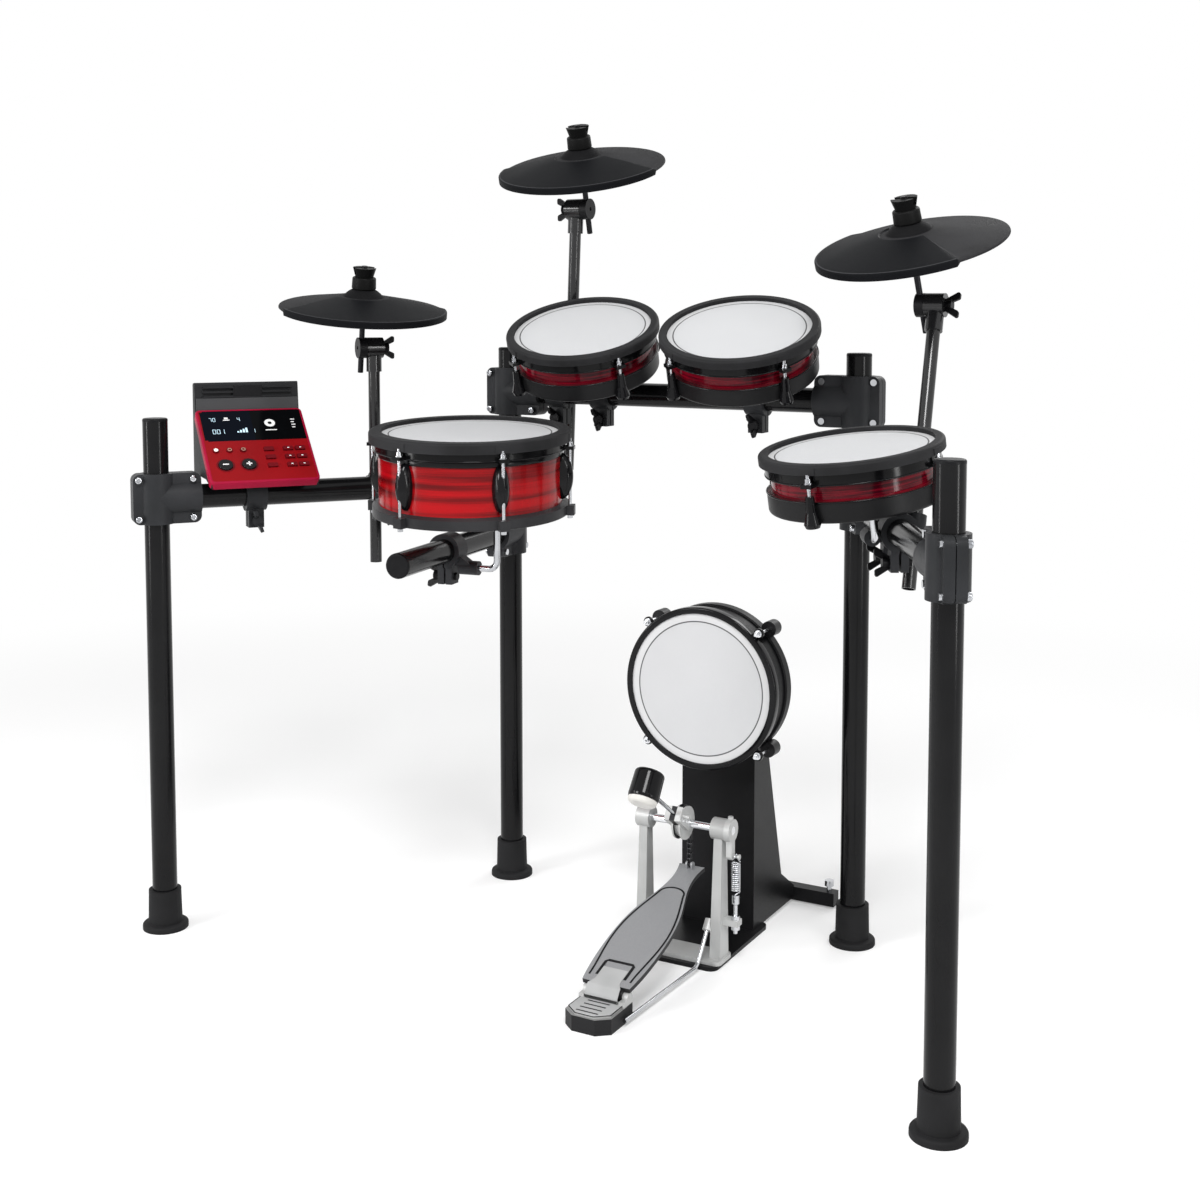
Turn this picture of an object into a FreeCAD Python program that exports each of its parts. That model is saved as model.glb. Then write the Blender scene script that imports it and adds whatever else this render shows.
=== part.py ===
import FreeCAD, Part
import math
import os
import Sketcher
from types import SimpleNamespace

Vector = FreeCAD.Vector
Placement = FreeCAD.Placement
Rotation = FreeCAD.Rotation

# Driving dimensions in millimetres and degrees. The plan is drawn from the rear left post:
# +X runs along the rear bar to the player's right, +Y runs away from the player.
SIZES = {
    # rack
    "tube_diameter": 38.1, "tube_wall": 2.0, "rear_span": 617.0, "rear_stub": 73.0, "front_stub": 124.0,
    "front_left_x": -349.0, "front_left_y": -467.0, "front_right_out": 292.0, "front_right_y": -496.0,
    "side_bar_height": 679.0, "rear_clamp_gap": 75.0, "arm_clamp_gap": 4.0,
    "snare_arm_x": 61.0, "snare_arm_y": -405.0, "origin_y": -200.12,
    "cap_height": 5.0, "cap_plug": 14.0, "foot_diameter": 70.0, "foot_flange": 9.0, "foot_collar": 52.0,
    "foot_taper": 1.2, "foot_height": 62.0, "foot_floor": 4.0, "fit_gap": 0.1, "running_gap": 0.3,
    "pin_gap": 0.06,
    # bolted tube clamps
    "clamp_back": 37.0, "clamp_front": 66.0, "clamp_half_height": 39.0, "clamp_plate": 14.0,
    "clamp_sleeve": 53.0, "clamp_split": 1.2, "clamp_corner": 11.0, "clamp_bolt_back": 29.0,
    "clamp_bolt_front": 53.0, "clamp_bolt_rise": 30.0, "bolt_shank": 6.0, "bolt_head": 10.0,
    "bolt_head_height": 5.0, "bolt_nut": 4.0,
    # clamps on the bars
    "ring_wall": 7.5, "ring_width": 32.0, "ear_drop": 26.0, "ear_width": 24.0, "ear_depth": 24.0,
    "ear_slot": 3.0, "rod_boss_wall": 6.0, "boom_boss_wall": 5.5, "wing_span": 42.0, "wing_reach": 20.0,
    "wing_thick": 5.0, "wing_roll": 72.0, "wing_hub": 17.0, "wing_hub_height": 10.0, "wing_nut": 5.0,
    # drum pads
    "snare_x": 123.0, "snare_y": -304.0, "snare_rise": 197.0, "snare_lean_ratio_x": 0.032,
    "snare_lean_ratio_y": -0.058,
    "tom_1_shift": 21.0, "tom_1_y": -108.0, "tom_1_rise": 111.0, "tom_1_lean_ratio_x": 0.09,
    "tom_1_lean_ratio_y": -0.419,
    "tom_2_shift": 17.0, "tom_2_y": -112.0, "tom_2_rise": 112.5, "tom_2_lean_ratio_x": 0.094,
    "tom_2_lean_ratio_y": -0.4275,
    "floor_tom_out": 111.0, "floor_tom_y": -332.0, "floor_tom_rise": 120.0,
    "floor_tom_lean_ratio_x": -0.074, "floor_tom_lean_ratio_y": -0.146,
    "tom_1_clamp_along": 181.0, "tom_2_clamp_back": 163.0, "floor_tom_clamp_along": 300.0,
    "snare_clamp_along": 241.0, "tom_lug_angle": -126.0, "floor_tom_lug_angle": -186.6,
    "snare_lug_angle": 21.5, "tom_rim": 240.0, "tom_depth": 76.0, "snare_rim": 300.0, "snare_depth": 126.0,
    "rim_rubber_ratio": 0.054, "rim_rubber_lip": 3.0, "rim_round": 4.0, "tom_rim_inset": 12.5,
    "snare_rim_inset": 18.0, "kick_rim_inset": 16.0,
    "rubber_skirt": 6.8, "hoop_wall": 3.0, "hoop_height": 28.0, "hoop_lip": 2.7, "flesh_hoop": 3.0,
    "flesh_height": 9.0, "head_thickness": 1.0, "shell_wall": 5.0, "base_ring_height": 28.0,
    "base_ring_step": 7.0, "rod_diameter": 5.0, "rod_head": 8.0, "rod_head_height": 5.0, "rod_key": 5.0,
    "washer_lip": 1.5, "rod_stand_off": 0.8, "ear_thick": 5.0, "ear_margin": 7.0, "hoop_ear_width": 15.0,
    "tom_lug_height": 40.0, "tom_lug_width": 22.0, "tom_lug_drop": 3.0, "tom_lug_hole": 22.0,
    "snare_lug_height": 70.0, "snare_lug_width": 25.0, "snare_lug_proud": 5.0, "snare_recess": 6.0,
    "bottom_hoop_height": 18.0, "bottom_hoop_chamfer": 3.0, "sensor_plate": 6.0, "sensor_foam": 30.0,
    "l_rod": 10.0, "l_rod_bend": 14.0, "l_rod_tail": 8.0, "socket_wall": 7.0, "socket_length": 20.0,
    "tom_leg": 42.0, "floor_tom_leg": 38.0, "snare_leg": 46.0, "tom_boss_rise": 8.0,
    "floor_tom_boss_rise": -6.0, "snare_boss_rise": -26.0,
    # kick pad and tower
    "kick_x": 410.0, "kick_face_y": -115.0, "kick_height": 395.0, "kick_rim": 250.0, "kick_depth": 70.0,
    "kick_hoop_height": 15.0, "kick_back_inset": 3.0, "kick_back_height": 20.0, "claw_diameter": 24.0,
    "claw_height": 22.0, "tower_width": 124.0, "tower_top": 470.0, "sheet_metal": 3.0,
    "gusset_top": 420.0, "gusset_top_depth": 16.0, "gusset_depth": 110.0, "gusset_foot": 62.0,
    "base_width": 142.0, "base_front_y": -206.0, "base_back_y": -5.0, "base_thick": 6.0,
    "base_corner": 14.0, "cross_bar_y": 125.0, "cross_bar_span": 266.0, "cross_bar": 22.0,
    "cross_bar_lift": 3.0, "spur_diameter": 8.0, "spur_inset": 12.0, "spur_knob": 15.0,
    "spur_knob_height": 9.0, "spur_stand": 9.0, "spur_point": 6.0,
    # pedal
    "axle_y": -168.0, "axle_height": 204.0, "axle_diameter": 12.0, "upright_gap": 124.0,
    "leg_foot": 17.0, "leg_top": 13.0, "hub_diameter": 32.0, "hub_length": 22.0, "foot_plate_front": 30.0,
    "foot_plate_back": 20.0, "foot_plate_margin": 12.0, "heel_y": -470.0, "heel_width": 72.0,
    "heel_length": 58.0, "heel_block": 22.0, "heel_plate": 3.0, "heel_corner": 18.0, "heel_slot": 3.6,
    "heel_slot_length": 30.0, "heel_slot_pitch": 15.0, "heel_wire_x": 40.0, "heel_wire_height": 9.0,
    "board_hinge_y": -402.0, "board_hinge_height": 30.0,
    "board_pin": 6.0, "board_ear": 8.0, "board_ear_round": 8.0, "board_knuckle": 54.0, "board_width": 88.0,
    "board_heel_width": 74.0, "board_neck": 34.0, "board_toe": 42.0, "board_thick": 7.0, "board_lift": 9.0,
    "cam_radius": 24.0, "cam_flange": 3.0, "cam_block": 26.0, "beater_length": 147.0, "beater_rise": 35.0,
    "beater_rod": 6.0, "beater_socket": 16.0, "beater_clamp": 22.0, "beater_head": 42.0,
    "beater_head_length": 46.0, "beater_felt_length": 12.0, "wire": 6.0, "wire_bend": 16.0,
    "wire_boss": 14.0, "chain_pitch": 8.0, "chain_plate": 1.2, "chain_plate_height": 6.0,
    "chain_roller": 5.0, "chain_pin": 3.0, "chain_inner_width": 4.8, "chain_gap": 0.2,
    "spring_wire": 2.0, "spring_diameter": 14.0, "spring_pitch": 3.1, "spring_hook": 4.0,
    "spring_neck": 8.0, "rocker_disc": 34.0, "rocker_reach": 38.0, "rocker_thick": 9.0,
    "rocker_stand_off": 14.0, "hook_pin": 4.0, "adjuster_rod": 6.0, "adjuster_nut": 13.0,
    "adjuster_nut_height": 6.0, "hook_rod_reach": 43.2, "bracket_thick": 9.0, "clevis": 11.0,
    # cymbals and their stands
    "cymbal_diameter": 270.0, "bell_inner": 36.0, "bell_wall": 5.0, "bell_radius": 32.0,
    "cymbal_hole": 18.0, "cymbal_drop": 15.0, "cymbal_lip": 5.0, "cymbal_thick": 4.0, "zone_thick": 2.5,
    "zone_start": 52.0, "zone_angle": 160.0, "boom_diameter": 19.0, "boom_wall": 1.5, "boom_gap": 3.4,
    "cymbal_rod": 9.0, "rod_tail": 24.0, "rod_tip": 6.0, "tilter_diameter": 34.0, "tilter_thick": 13.0,
    "tilter_rise": 4.0, "ferrule_wall": 3.0, "ferrule_grip": 18.0, "crown_height": 34.0,
    "crown_diameter": 34.0, "crown_foot": 6.0, "crown_slot": 10.0, "washer_diameter": 32.0,
    "washer_thick": 6.0, "hihat_along": 357.0, "hihat_below": 127.0, "hihat_above": 206.0,
    "hihat_lean_ratio_x": 0.146, "hihat_lean_ratio_y": -0.105, "hihat_reach": 60.0, "crash_along": 99.0,
    "crash_below": 132.0, "crash_above": 279.0, "crash_lean_ratio_x": 0.055, "crash_lean_ratio_y": -0.341,
    "crash_reach": 64.0, "crash_boom_ratio_x": 0.07, "crash_boom_ratio_y": -0.056, "ride_along": 250.0,
    "ride_below": 80.0, "ride_above": 278.0, "ride_lean_ratio_x": -0.074, "ride_lean_ratio_y": -0.346,
    "ride_reach": 84.0, "ride_boom_ratio_x": -0.044, "ride_boom_ratio_y": 0.4,
    # module
    "module_width": 165.0, "module_panel": 160.0, "module_along": 151.0, "module_recline": 51.0,
    "module_forward": 24.0, "module_lift": 77.0, "panel_thick": 4.0, "panel_corner": 6.0,
    "module_back": 62.0, "module_rise": 172.0, "module_floor": 30.0, "module_toe": 40.0,
    "module_nose": 7.0, "module_ledge": 4.0, "module_top": 14.0, "case_wall": 3.0, "mouth_top_ratio": 0.06,
    "mouth_low_ratio": 0.88, "rib_pitch": 7.5,
    "rib_size": 3.0, "rib_start": 8.0, "rib_margin": 24.0, "display_height": 64.0, "display_margin": 4.0,
    "display_thick": 1.5, "big_button": 22.0, "mode_button": 9.0, "key_width": 15.0, "key_height": 8.0,
    "key_pitch": 18.0, "key_first_row": -12.0, "key_first_column": 16.0, "key_second_column": 46.0,
    "key_third_column": 65.0, "mode_first_column": -66.0, "mode_pitch": 21.0, "minus_column": -56.0,
    "plus_column": -20.0, "value_row": -44.0, "button_proud": 2.6, "button_travel": 1.2,
    "button_gap": 0.4,
}

doc = FreeCAD.newDocument("drum_kit")
sheet = doc.addObject("Spreadsheet::Sheet", "Dims")
for row, (alias, number) in enumerate(SIZES.items(), 1):
    sheet.set(f"A{row}", alias)
    sheet.set(f"B{row}", str(number))
    sheet.setAlias(f"B{row}", alias)
doc.recompute()


class Size:
    """A sheet size, or a sum or product of sizes: its expression for the document and its number."""

    def __init__(self, text, number):
        self.text = text
        self.number = float(number)

    def joined(self, sign, other, swapped=False):
        other = other if isinstance(other, Size) else Size(repr(float(other)), other)
        first, second = (other, self) if swapped else (self, other)
        if sign == "+":
            number = first.number + second.number
        elif sign == "-":
            number = first.number - second.number
        elif sign == "*":
            number = first.number * second.number
        else:
            number = first.number / second.number
        return Size(f"({first.text} {sign} {second.text})", number)

    def __add__(self, other):
        return self.joined("+", other)

    def __radd__(self, other):
        return self.joined("+", other, True)

    def __sub__(self, other):
        return self.joined("-", other)

    def __rsub__(self, other):
        return self.joined("-", other, True)

    def __mul__(self, other):
        return self.joined("*", other)

    def __rmul__(self, other):
        return self.joined("*", other, True)

    def __truediv__(self, other):
        return self.joined("/", other)

    def __neg__(self):
        return self.joined("-", 0.0, True)

    def __float__(self):
        return self.number


d = SimpleNamespace(**{name: Size(f"Dims.{name}", sheet.get(name)) for name in SIZES})
NODES = []


def bind(item, **sizes):
    """Ties properties to sheet expressions, or sets them where they are plain numbers."""
    for name, size in sizes.items():
        if isinstance(size, Size):
            item.setExpression(name, size.text)
        else:
            setattr(item, name, size)
    return item


def spot(x, y, z):
    """A point of the plan, seen from the origin under the middle of the kit."""
    middle = (d.front_left_x + d.rear_span + d.front_right_out) / 2
    return Vector(float(x - middle), float(y) - float(d.origin_y), float(z))


def unit(vector):
    return Vector(vector).normalize()


def frame(origin, z_axis, x_hint=Vector(1, 0, 0)):
    """A placement whose local Z follows z_axis and whose local X lies as near x_hint as it can."""
    z = unit(z_axis)
    x = unit(x_hint - z * x_hint.dot(z))
    y = z.cross(x)
    matrix = FreeCAD.Matrix(x.x, y.x, z.x, origin.x, x.y, y.y, z.y, origin.y, x.z, y.z, z.z, origin.z, 0, 0,
                            0, 1)
    return Placement(matrix)


def move(x=0, y=0, z=0, turn=None):
    return Placement(Vector(float(x), float(y), float(z)), turn or Rotation())


def turn(axis, angle):
    return Rotation(Vector(*axis), angle)


# Sketches and solids

def new_sketch(body, role):
    sketch = body.newObject("Sketcher::SketchObject", f"{body.Name}_{role}")
    plane = next(item for item in body.Origin.OriginFeatures if item.Role == role)
    sketch.AttachmentSupport = [(plane, "")]
    sketch.MapMode = "FlatFace"
    return sketch


def draw(sketch, points, arcs=None):
    """A closed outline. arcs maps an edge to (centre height, radius) of a circle on the vertical axis."""
    arcs = arcs or {}
    flat = [Vector(float(x), float(y), 0) for x, y in points]
    count = len(flat)
    rules = []
    bound = []
    ends = []
    for i in range(count):
        start, end = flat[i], flat[(i + 1) % count]
        if i in arcs:
            centre = Vector(0, float(arcs[i][0]), 0)
            angles = [math.atan2(point.y - centre.y, point.x - centre.x) for point in (start, end)]
            circle = Part.Circle(centre, Vector(0, 0, 1), float(arcs[i][1]))
            sketch.addGeometry(Part.ArcOfCircle(circle, min(angles), max(angles)), False)
            ends.append((1, 2) if angles[0] < angles[1] else (2, 1))
        else:
            sketch.addGeometry(Part.LineSegment(start, end), False)
            ends.append((1, 2))
    for i in range(count):
        follow = (i + 1) % count
        rules.append(Sketcher.Constraint("Coincident", i, ends[i][1], follow, ends[follow][0]))
    for i, (x, y) in enumerate(points):
        on_arc = i in arcs or (i - 1) % count in arcs
        if float(x) == 0.0:
            rules.append(Sketcher.Constraint("PointOnObject", i, ends[i][0], -2))
        else:
            rules.append(Sketcher.Constraint("DistanceX", -1, 1, i, ends[i][0], float(x)))
            bound.append((len(rules) - 1, x))
        if on_arc:
            continue
        if float(y) == 0.0:
            rules.append(Sketcher.Constraint("PointOnObject", i, ends[i][0], -1))
        else:
            rules.append(Sketcher.Constraint("DistanceY", -1, 1, i, ends[i][0], float(y)))
            bound.append((len(rules) - 1, y))
    for i, (height, radius) in arcs.items():
        rules.append(Sketcher.Constraint("PointOnObject", i, 3, -2))
        if float(height) == 0.0:
            rules.append(Sketcher.Constraint("PointOnObject", i, 3, -1))
        else:
            rules.append(Sketcher.Constraint("DistanceY", -1, 1, i, 3, float(height)))
            bound.append((len(rules) - 1, height))
        rules.append(Sketcher.Constraint("Radius", i, float(radius)))
        bound.append((len(rules) - 1, radius))
    sketch.addConstraint(rules)
    for index, size in bound:
        if isinstance(size, Size):
            sketch.setExpression(f"Constraints[{index}]", size.text)


def round_edges(body, feature, wanted, radius):
    """Rounds the edges of a feature that the test wanted(edge) picks."""
    doc.recompute()
    names = [f"Edge{i}" for i, edge in enumerate(feature.Shape.Edges, 1) if wanted(edge)]
    fillet = body.newObject("PartDesign::Fillet", f"{body.Name}_round")
    fillet.Base = (feature, names)
    bind(fillet, Radius=radius)
    body.Tip = fillet
    return fillet


def turned(name, points, rounds=(), arcs=None):
    """A body turned about Z from an outline of (radius, height) points; rounds lists (point, radius)."""
    body = doc.addObject("PartDesign::Body", name)
    sketch = new_sketch(body, "XZ_Plane")
    draw(sketch, points, arcs)
    feature = body.newObject("PartDesign::Revolution", f"{name}_turn")
    feature.Profile = sketch
    feature.ReferenceAxis = (sketch, ["V_Axis"])
    feature.Angle = 360.0
    body.Tip = feature
    for index, radius in rounds:
        reach, height = float(points[index][0]), float(points[index][1])

        def on_corner(edge):
            point = edge.valueAt(edge.FirstParameter)
            return abs(math.hypot(point.x, point.y) - reach) < 1e-4 and abs(point.z - height) < 1e-4

        feature = round_edges(body, feature, lambda edge: on_corner(edge) and edge.Length > reach, radius)
    return body


def padded(name, points, height, rounds=(), role="XY_Plane", middle=False):
    """A body raised from a closed outline; rounds lists (points, radius) for the upright edges."""
    body = doc.addObject("PartDesign::Body", name)
    sketch = new_sketch(body, role)
    draw(sketch, points)
    feature = body.newObject("PartDesign::Pad", f"{name}_pad")
    feature.Profile = sketch
    feature.Midplane = middle
    bind(feature, Length=height)
    body.Tip = feature
    for indexes, radius in rounds:
        doc.recompute()
        spots = [sketch.Placement.multVec(Vector(float(points[i][0]), float(points[i][1]), 0))
                 for i in indexes]
        normal = sketch.Placement.Rotation.multVec(Vector(0, 0, 1))

        def upright(edge):
            start, end = (vertex.Point
                          for vertex in edge.Vertexes[:2]) if len(edge.Vertexes) == 2 else (None, None)
            if start is None or abs(unit(end - start).dot(normal)) < 0.999:
                return False
            return any((start - corner - normal * (start - corner).dot(normal)).Length < 1e-3
                       for corner in spots)

        feature = round_edges(body, feature, upright, radius)
    return body


def tube(name, outer, wall, length):
    body = doc.addObject("PartDesign::Body", name)
    sketch = new_sketch(body, "XY_Plane")
    for index, radius in enumerate((outer / 2, outer / 2 - wall)):
        sketch.addGeometry(Part.Circle(Vector(), Vector(0, 0, 1), float(radius)), False)
        sketch.addConstraint(Sketcher.Constraint("Coincident", index, 3, -1, 1))
        rule = sketch.addConstraint(Sketcher.Constraint("Radius", index, float(radius)))
        sketch.setExpression(f"Constraints[{rule}]", radius.text)
    pad = body.newObject("PartDesign::Pad", f"{name}_pad")
    pad.Profile = sketch
    bind(pad, Length=length)
    body.Tip = pad
    return body


def cylinder(name, radius, height, place=None):
    item = doc.addObject("Part::Cylinder", name)
    item.Placement = place or Placement()
    return bind(item, Radius=radius, Height=height)


def cone(name, low, high, height, place=None):
    item = doc.addObject("Part::Cone", name)
    item.Placement = place or Placement()
    return bind(item, Radius1=low, Radius2=high, Height=height)


def box(name, length, width, height, place=None):
    """A box centred on X and Y that rises from Z 0."""
    item = bind(doc.addObject("Part::Box", name), Length=length, Width=width, Height=height)
    item.Placement = (place or Placement()).multiply(move(-float(length) / 2, -float(width) / 2))
    return item


def fused(name, items):
    item = doc.addObject("Part::MultiFuse", name)
    item.Shapes = items
    return item


def cut(name, base, tools):
    item = doc.addObject("Part::Cut", name)
    item.Base = base
    item.Tool = tools[0] if len(tools) == 1 else fused(f"{name}_tools", tools)
    return item


def placed(item, place):
    item.Placement = place.multiply(item.Placement)
    return item


def node(label, items, place=None):
    """Names one sub-part: a single item, or several solids of one piece set gathered in a compound."""
    if len(items) == 1:
        item = items[0]
    else:
        item = doc.addObject("Part::Compound", f"{label}_set")
        item.Links = items
    item.Label = label
    item.Placement = (place or Placement()).multiply(item.Placement)
    NODES.append(item)
    return item


def solid(name, shape, place=None):
    item = doc.addObject("Part::Feature", name)
    item.Shape = shape
    item.Placement = place or Placement()
    return item


def bent_rod(name, points, radius, bend):
    """A round rod along straight runs that are joined by tangent arcs."""
    edges = []
    start = points[0]
    for before, corner, after in zip(points, points[1:], points[2:]):
        back, ahead = unit(before - corner), unit(after - corner)
        half = math.acos(max(-1.0, min(1.0, back.dot(ahead)))) / 2
        reach = float(bend) / math.tan(half)
        first, last = corner + back * reach, corner + ahead * reach
        inward = unit(back + ahead)
        middle = corner + inward * (float(bend) / math.sin(half) - float(bend))
        edges.append(Part.LineSegment(start, first).toShape())
        edges.append(Part.Arc(first, middle, last).toShape())
        start = last
    edges.append(Part.LineSegment(start, points[-1]).toShape())
    section = Part.Wire([Part.makeCircle(float(radius), points[0], points[1] - points[0])])
    return solid(name, Part.Wire(edges).makePipeShell([section], True, False))


def gathered(name, pairs):
    """A compound of copies of master items at their placements."""
    doc.recompute()
    shapes = []
    for item, place in pairs:
        assert item.Shape.Solids, f"no solid: {item.Name}"
        shape = item.Shape.copy()
        shape.Placement = place.multiply(shape.Placement)
        shapes.append(shape)
    return solid(name, Part.makeCompound(shapes))


def copies(label, pairs):
    """Names a group of like solids: copies of master items at their placements."""
    group = gathered(label, pairs)
    group.Label = label
    NODES.append(group)
    return group


def ring_of(item, count, first):
    """Copies of an item spread evenly round Z from the angle first."""
    return [(item, move(turn=turn((0, 0, 1), first + 360.0 * i / count))) for i in range(count)]


def at(place, pairs):
    """The same copies, carried to another place."""
    return [(item, place.multiply(spin)) for item, spin in pairs]


UP = Vector(0, 0, 1)
ALONG = move(turn=turn((0, 1, 0), 90))
FRONT_WAY = turn((1, 0, 0), 90)

# Rack: four posts, three bars and the snare arm

REAR_LEFT = spot(0, 0, 0)
REAR_RIGHT = spot(d.rear_span, 0, 0)
FRONT_LEFT = spot(d.front_left_x, d.front_left_y, 0)
FRONT_RIGHT = spot(d.rear_span + d.front_right_out, d.front_right_y, 0)
ARM_END = REAR_LEFT + Vector(float(d.snare_arm_x), float(d.snare_arm_y), 0)
TUBE_RADIUS = d.tube_diameter / 2
BAR_START = TUBE_RADIUS + d.clamp_split
CLAMP_HEIGHT = 2 * d.clamp_half_height
REAR_HEIGHT = d.side_bar_height + CLAMP_HEIGHT + d.rear_clamp_gap
ARM_HEIGHT = d.side_bar_height - CLAMP_HEIGHT - d.arm_clamp_gap
REAR_TOP = REAR_HEIGHT + d.rear_stub
FRONT_TOP = d.side_bar_height + d.front_stub
POSTS = [(REAR_LEFT, REAR_TOP), (REAR_RIGHT, REAR_TOP), (FRONT_LEFT, FRONT_TOP), (FRONT_RIGHT, FRONT_TOP)]


def bar_frame(start, end, height):
    """A frame on a bar: local X along it from the start post, local Z up."""
    return frame(start + UP * float(height), UP, end - start)


REAR = bar_frame(REAR_LEFT, REAR_RIGHT, REAR_HEIGHT)
LEFT = bar_frame(FRONT_LEFT, REAR_LEFT, d.side_bar_height)
RIGHT = bar_frame(REAR_RIGHT, FRONT_RIGHT, d.side_bar_height)
ARM = bar_frame(REAR_LEFT, ARM_END, ARM_HEIGHT)
LEFT_LENGTH = (REAR_LEFT - FRONT_LEFT).Length
RIGHT_LENGTH = (FRONT_RIGHT - REAR_RIGHT).Length
ARM_LENGTH = (ARM_END - REAR_LEFT).Length


def make_rack():
    post_pairs = []
    for index, (foot, top) in enumerate(POSTS):
        post = tube(f"post_{index}", d.tube_diameter, d.tube_wall, top - d.cap_height - d.foot_floor)
        post_pairs.append((post, move(foot.x, foot.y, d.foot_floor)))
    copies("rack_posts", post_pairs)

    bar_pairs = []
    runs = ((REAR, d.rear_span - 2 * BAR_START), (LEFT, LEFT_LENGTH - 2 * BAR_START),
            (RIGHT, RIGHT_LENGTH - 2 * BAR_START), (ARM, ARM_LENGTH - BAR_START - d.cap_height))
    for index, (place, length) in enumerate(runs):
        bar = tube(f"bar_{index}", d.tube_diameter, d.tube_wall, length)
        bar_pairs.append((bar, place.multiply(move(BAR_START)).multiply(ALONG)))
    copies("rack_bars", bar_pairs)

    plug = TUBE_RADIUS - d.tube_wall - d.fit_gap
    cap = turned("tube_cap", [(0, -d.cap_plug), (plug, -d.cap_plug), (plug, 0), (TUBE_RADIUS, 0),
                              (TUBE_RADIUS, d.cap_height), (0, d.cap_height)], [(4, d.cap_height * 0.55)])
    cap_spots = [move(foot.x, foot.y, top - d.cap_height) for foot, top in POSTS]
    cap_spots.append(ARM.multiply(move(ARM_LENGTH - d.cap_height)).multiply(ALONG))
    copies("tube_caps", [(cap, place) for place in cap_spots])

    socket = TUBE_RADIUS + d.fit_gap
    flange = d.foot_diameter / 2
    collar = d.foot_collar / 2
    foot = turned("post_foot",
                  [(0, 0), (flange, 0), (flange, d.foot_flange), (collar, d.foot_flange + d.foot_taper),
                   (collar - d.foot_taper, d.foot_height), (socket, d.foot_height),
                   (socket, d.foot_floor), (0, d.foot_floor)], [(2, d.foot_flange * 0.4)])
    copies("post_feet", [(foot, move(place.x, place.y)) for place, top in POSTS])


# Bolted clamps that join a bar to a post: two like halves on the plane of the two tubes

BOLT_SPOTS = [(x, z) for x in (-d.clamp_bolt_back, d.clamp_bolt_front)
              for z in (-d.clamp_bolt_rise, d.clamp_bolt_rise)]
HALF_TURN = turn((0, 0, 1), 180)
CLAMPS = [REAR, REAR.multiply(move(d.rear_span, turn=HALF_TURN)), LEFT,
          LEFT.multiply(move(LEFT_LENGTH, turn=HALF_TURN)),
          RIGHT, RIGHT.multiply(move(RIGHT_LENGTH, turn=HALF_TURN)), ARM]


def make_post_clamps():
    high = d.clamp_half_height
    bore = TUBE_RADIUS + d.fit_gap
    plate = padded("clamp_plate", [(-d.clamp_back, -high), (d.clamp_front, -high), (d.clamp_front, high),
                                   (-d.clamp_back, high)], d.clamp_plate, [((0, 1, 2, 3), d.clamp_corner)],
                   role="XZ_Plane")
    post_sleeve = cylinder("clamp_post_sleeve", d.clamp_sleeve / 2, 2 * high, move(0, 0, -high))
    bar_sleeve = cylinder("clamp_bar_sleeve", d.clamp_sleeve / 2, d.clamp_front, ALONG)
    tools = [cylinder("clamp_post_bore", bore, 4 * high, move(0, 0, -2 * high)),
             cylinder("clamp_bar_bore", bore, 2 * d.clamp_front, ALONG),
             box("clamp_far_side", 8 * d.clamp_front, 2 * d.clamp_sleeve, 4 * d.clamp_sleeve,
                 move(0, d.clamp_sleeve - d.clamp_split / 2, -2 * d.clamp_sleeve))]
    for index, (x, z) in enumerate(BOLT_SPOTS):
        tools.append(cylinder(f"clamp_bolt_hole_{index}", d.bolt_shank / 2 + d.fit_gap, 4 * d.clamp_plate,
                              move(x, 2 * d.clamp_plate, z, FRONT_WAY)))
    half = cut("clamp_half", fused("clamp_half_body", [plate, post_sleeve, bar_sleeve]), tools)
    flip = move(turn=turn((1, 0, 0), 180))
    copies("rack_clamp_halves",
           [(half, place.multiply(side)) for place in CLAMPS for side in (Placement(), flip)])

    shank, head, grip = d.bolt_shank / 2, d.bolt_head / 2, 2 * d.clamp_plate
    bolt = turned("clamp_bolt",
                  [(0, -grip - d.bolt_nut), (head, -grip - d.bolt_nut), (head, -grip), (shank, -grip),
                   (shank, 0), (head, 0), (head, d.bolt_head_height),
                   (0, d.bolt_head_height)])
    copies("rack_clamp_bolts", [(bolt, place.multiply(move(x, -d.clamp_plate, z, FRONT_WAY)))
                                for place in CLAMPS for x, z in BOLT_SPOTS])


# Clamps that ride on a bar: a split ring with ears, a wing bolt, and a boss for a rod or a boom

RING_RADIUS = TUBE_RADIUS + d.ring_wall
EAR_MIDDLE = -RING_RADIUS - d.ear_drop * 0.55
WING_ROLL = move(turn=turn((0, 0, 1), float(d.wing_roll)))
WING_PLACE = move(0, -d.ear_depth / 2, EAR_MIDDLE, turn((1, 0, 0), -90)).multiply(WING_ROLL)
bar_clamps = []
wing_spots = []


def split_ring(name):
    """A solid ring about the bar, local X along it, with two ears below and the slot that lets them close."""
    ring = cylinder(f"{name}_ring", RING_RADIUS, d.ring_width, move(-d.ring_width / 2).multiply(ALONG))
    ears = box(f"{name}_ears", d.ear_width, d.ear_depth, RING_RADIUS + d.ear_drop,
               move(0, 0, -RING_RADIUS - d.ear_drop))
    slot = box(f"{name}_slot", 2 * d.ring_width, d.ear_slot, 2 * RING_RADIUS,
               move(0, 0, -2 * RING_RADIUS - TUBE_RADIUS / 2))
    return cut(f"{name}_split", fused(f"{name}_eared", [ring, ears]), [slot])


def ring_tools(name):
    """The bar's bore and the bolt's hole."""
    bore = cylinder(f"{name}_bore", TUBE_RADIUS + d.fit_gap, 2 * d.ring_width,
                    move(-d.ring_width).multiply(ALONG))
    hole = cylinder(f"{name}_hole", d.bolt_shank / 2 + d.fit_gap, 2 * d.ear_depth,
                    move(0, d.ear_depth, EAR_MIDDLE, FRONT_WAY))
    return [bore, hole]


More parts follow.
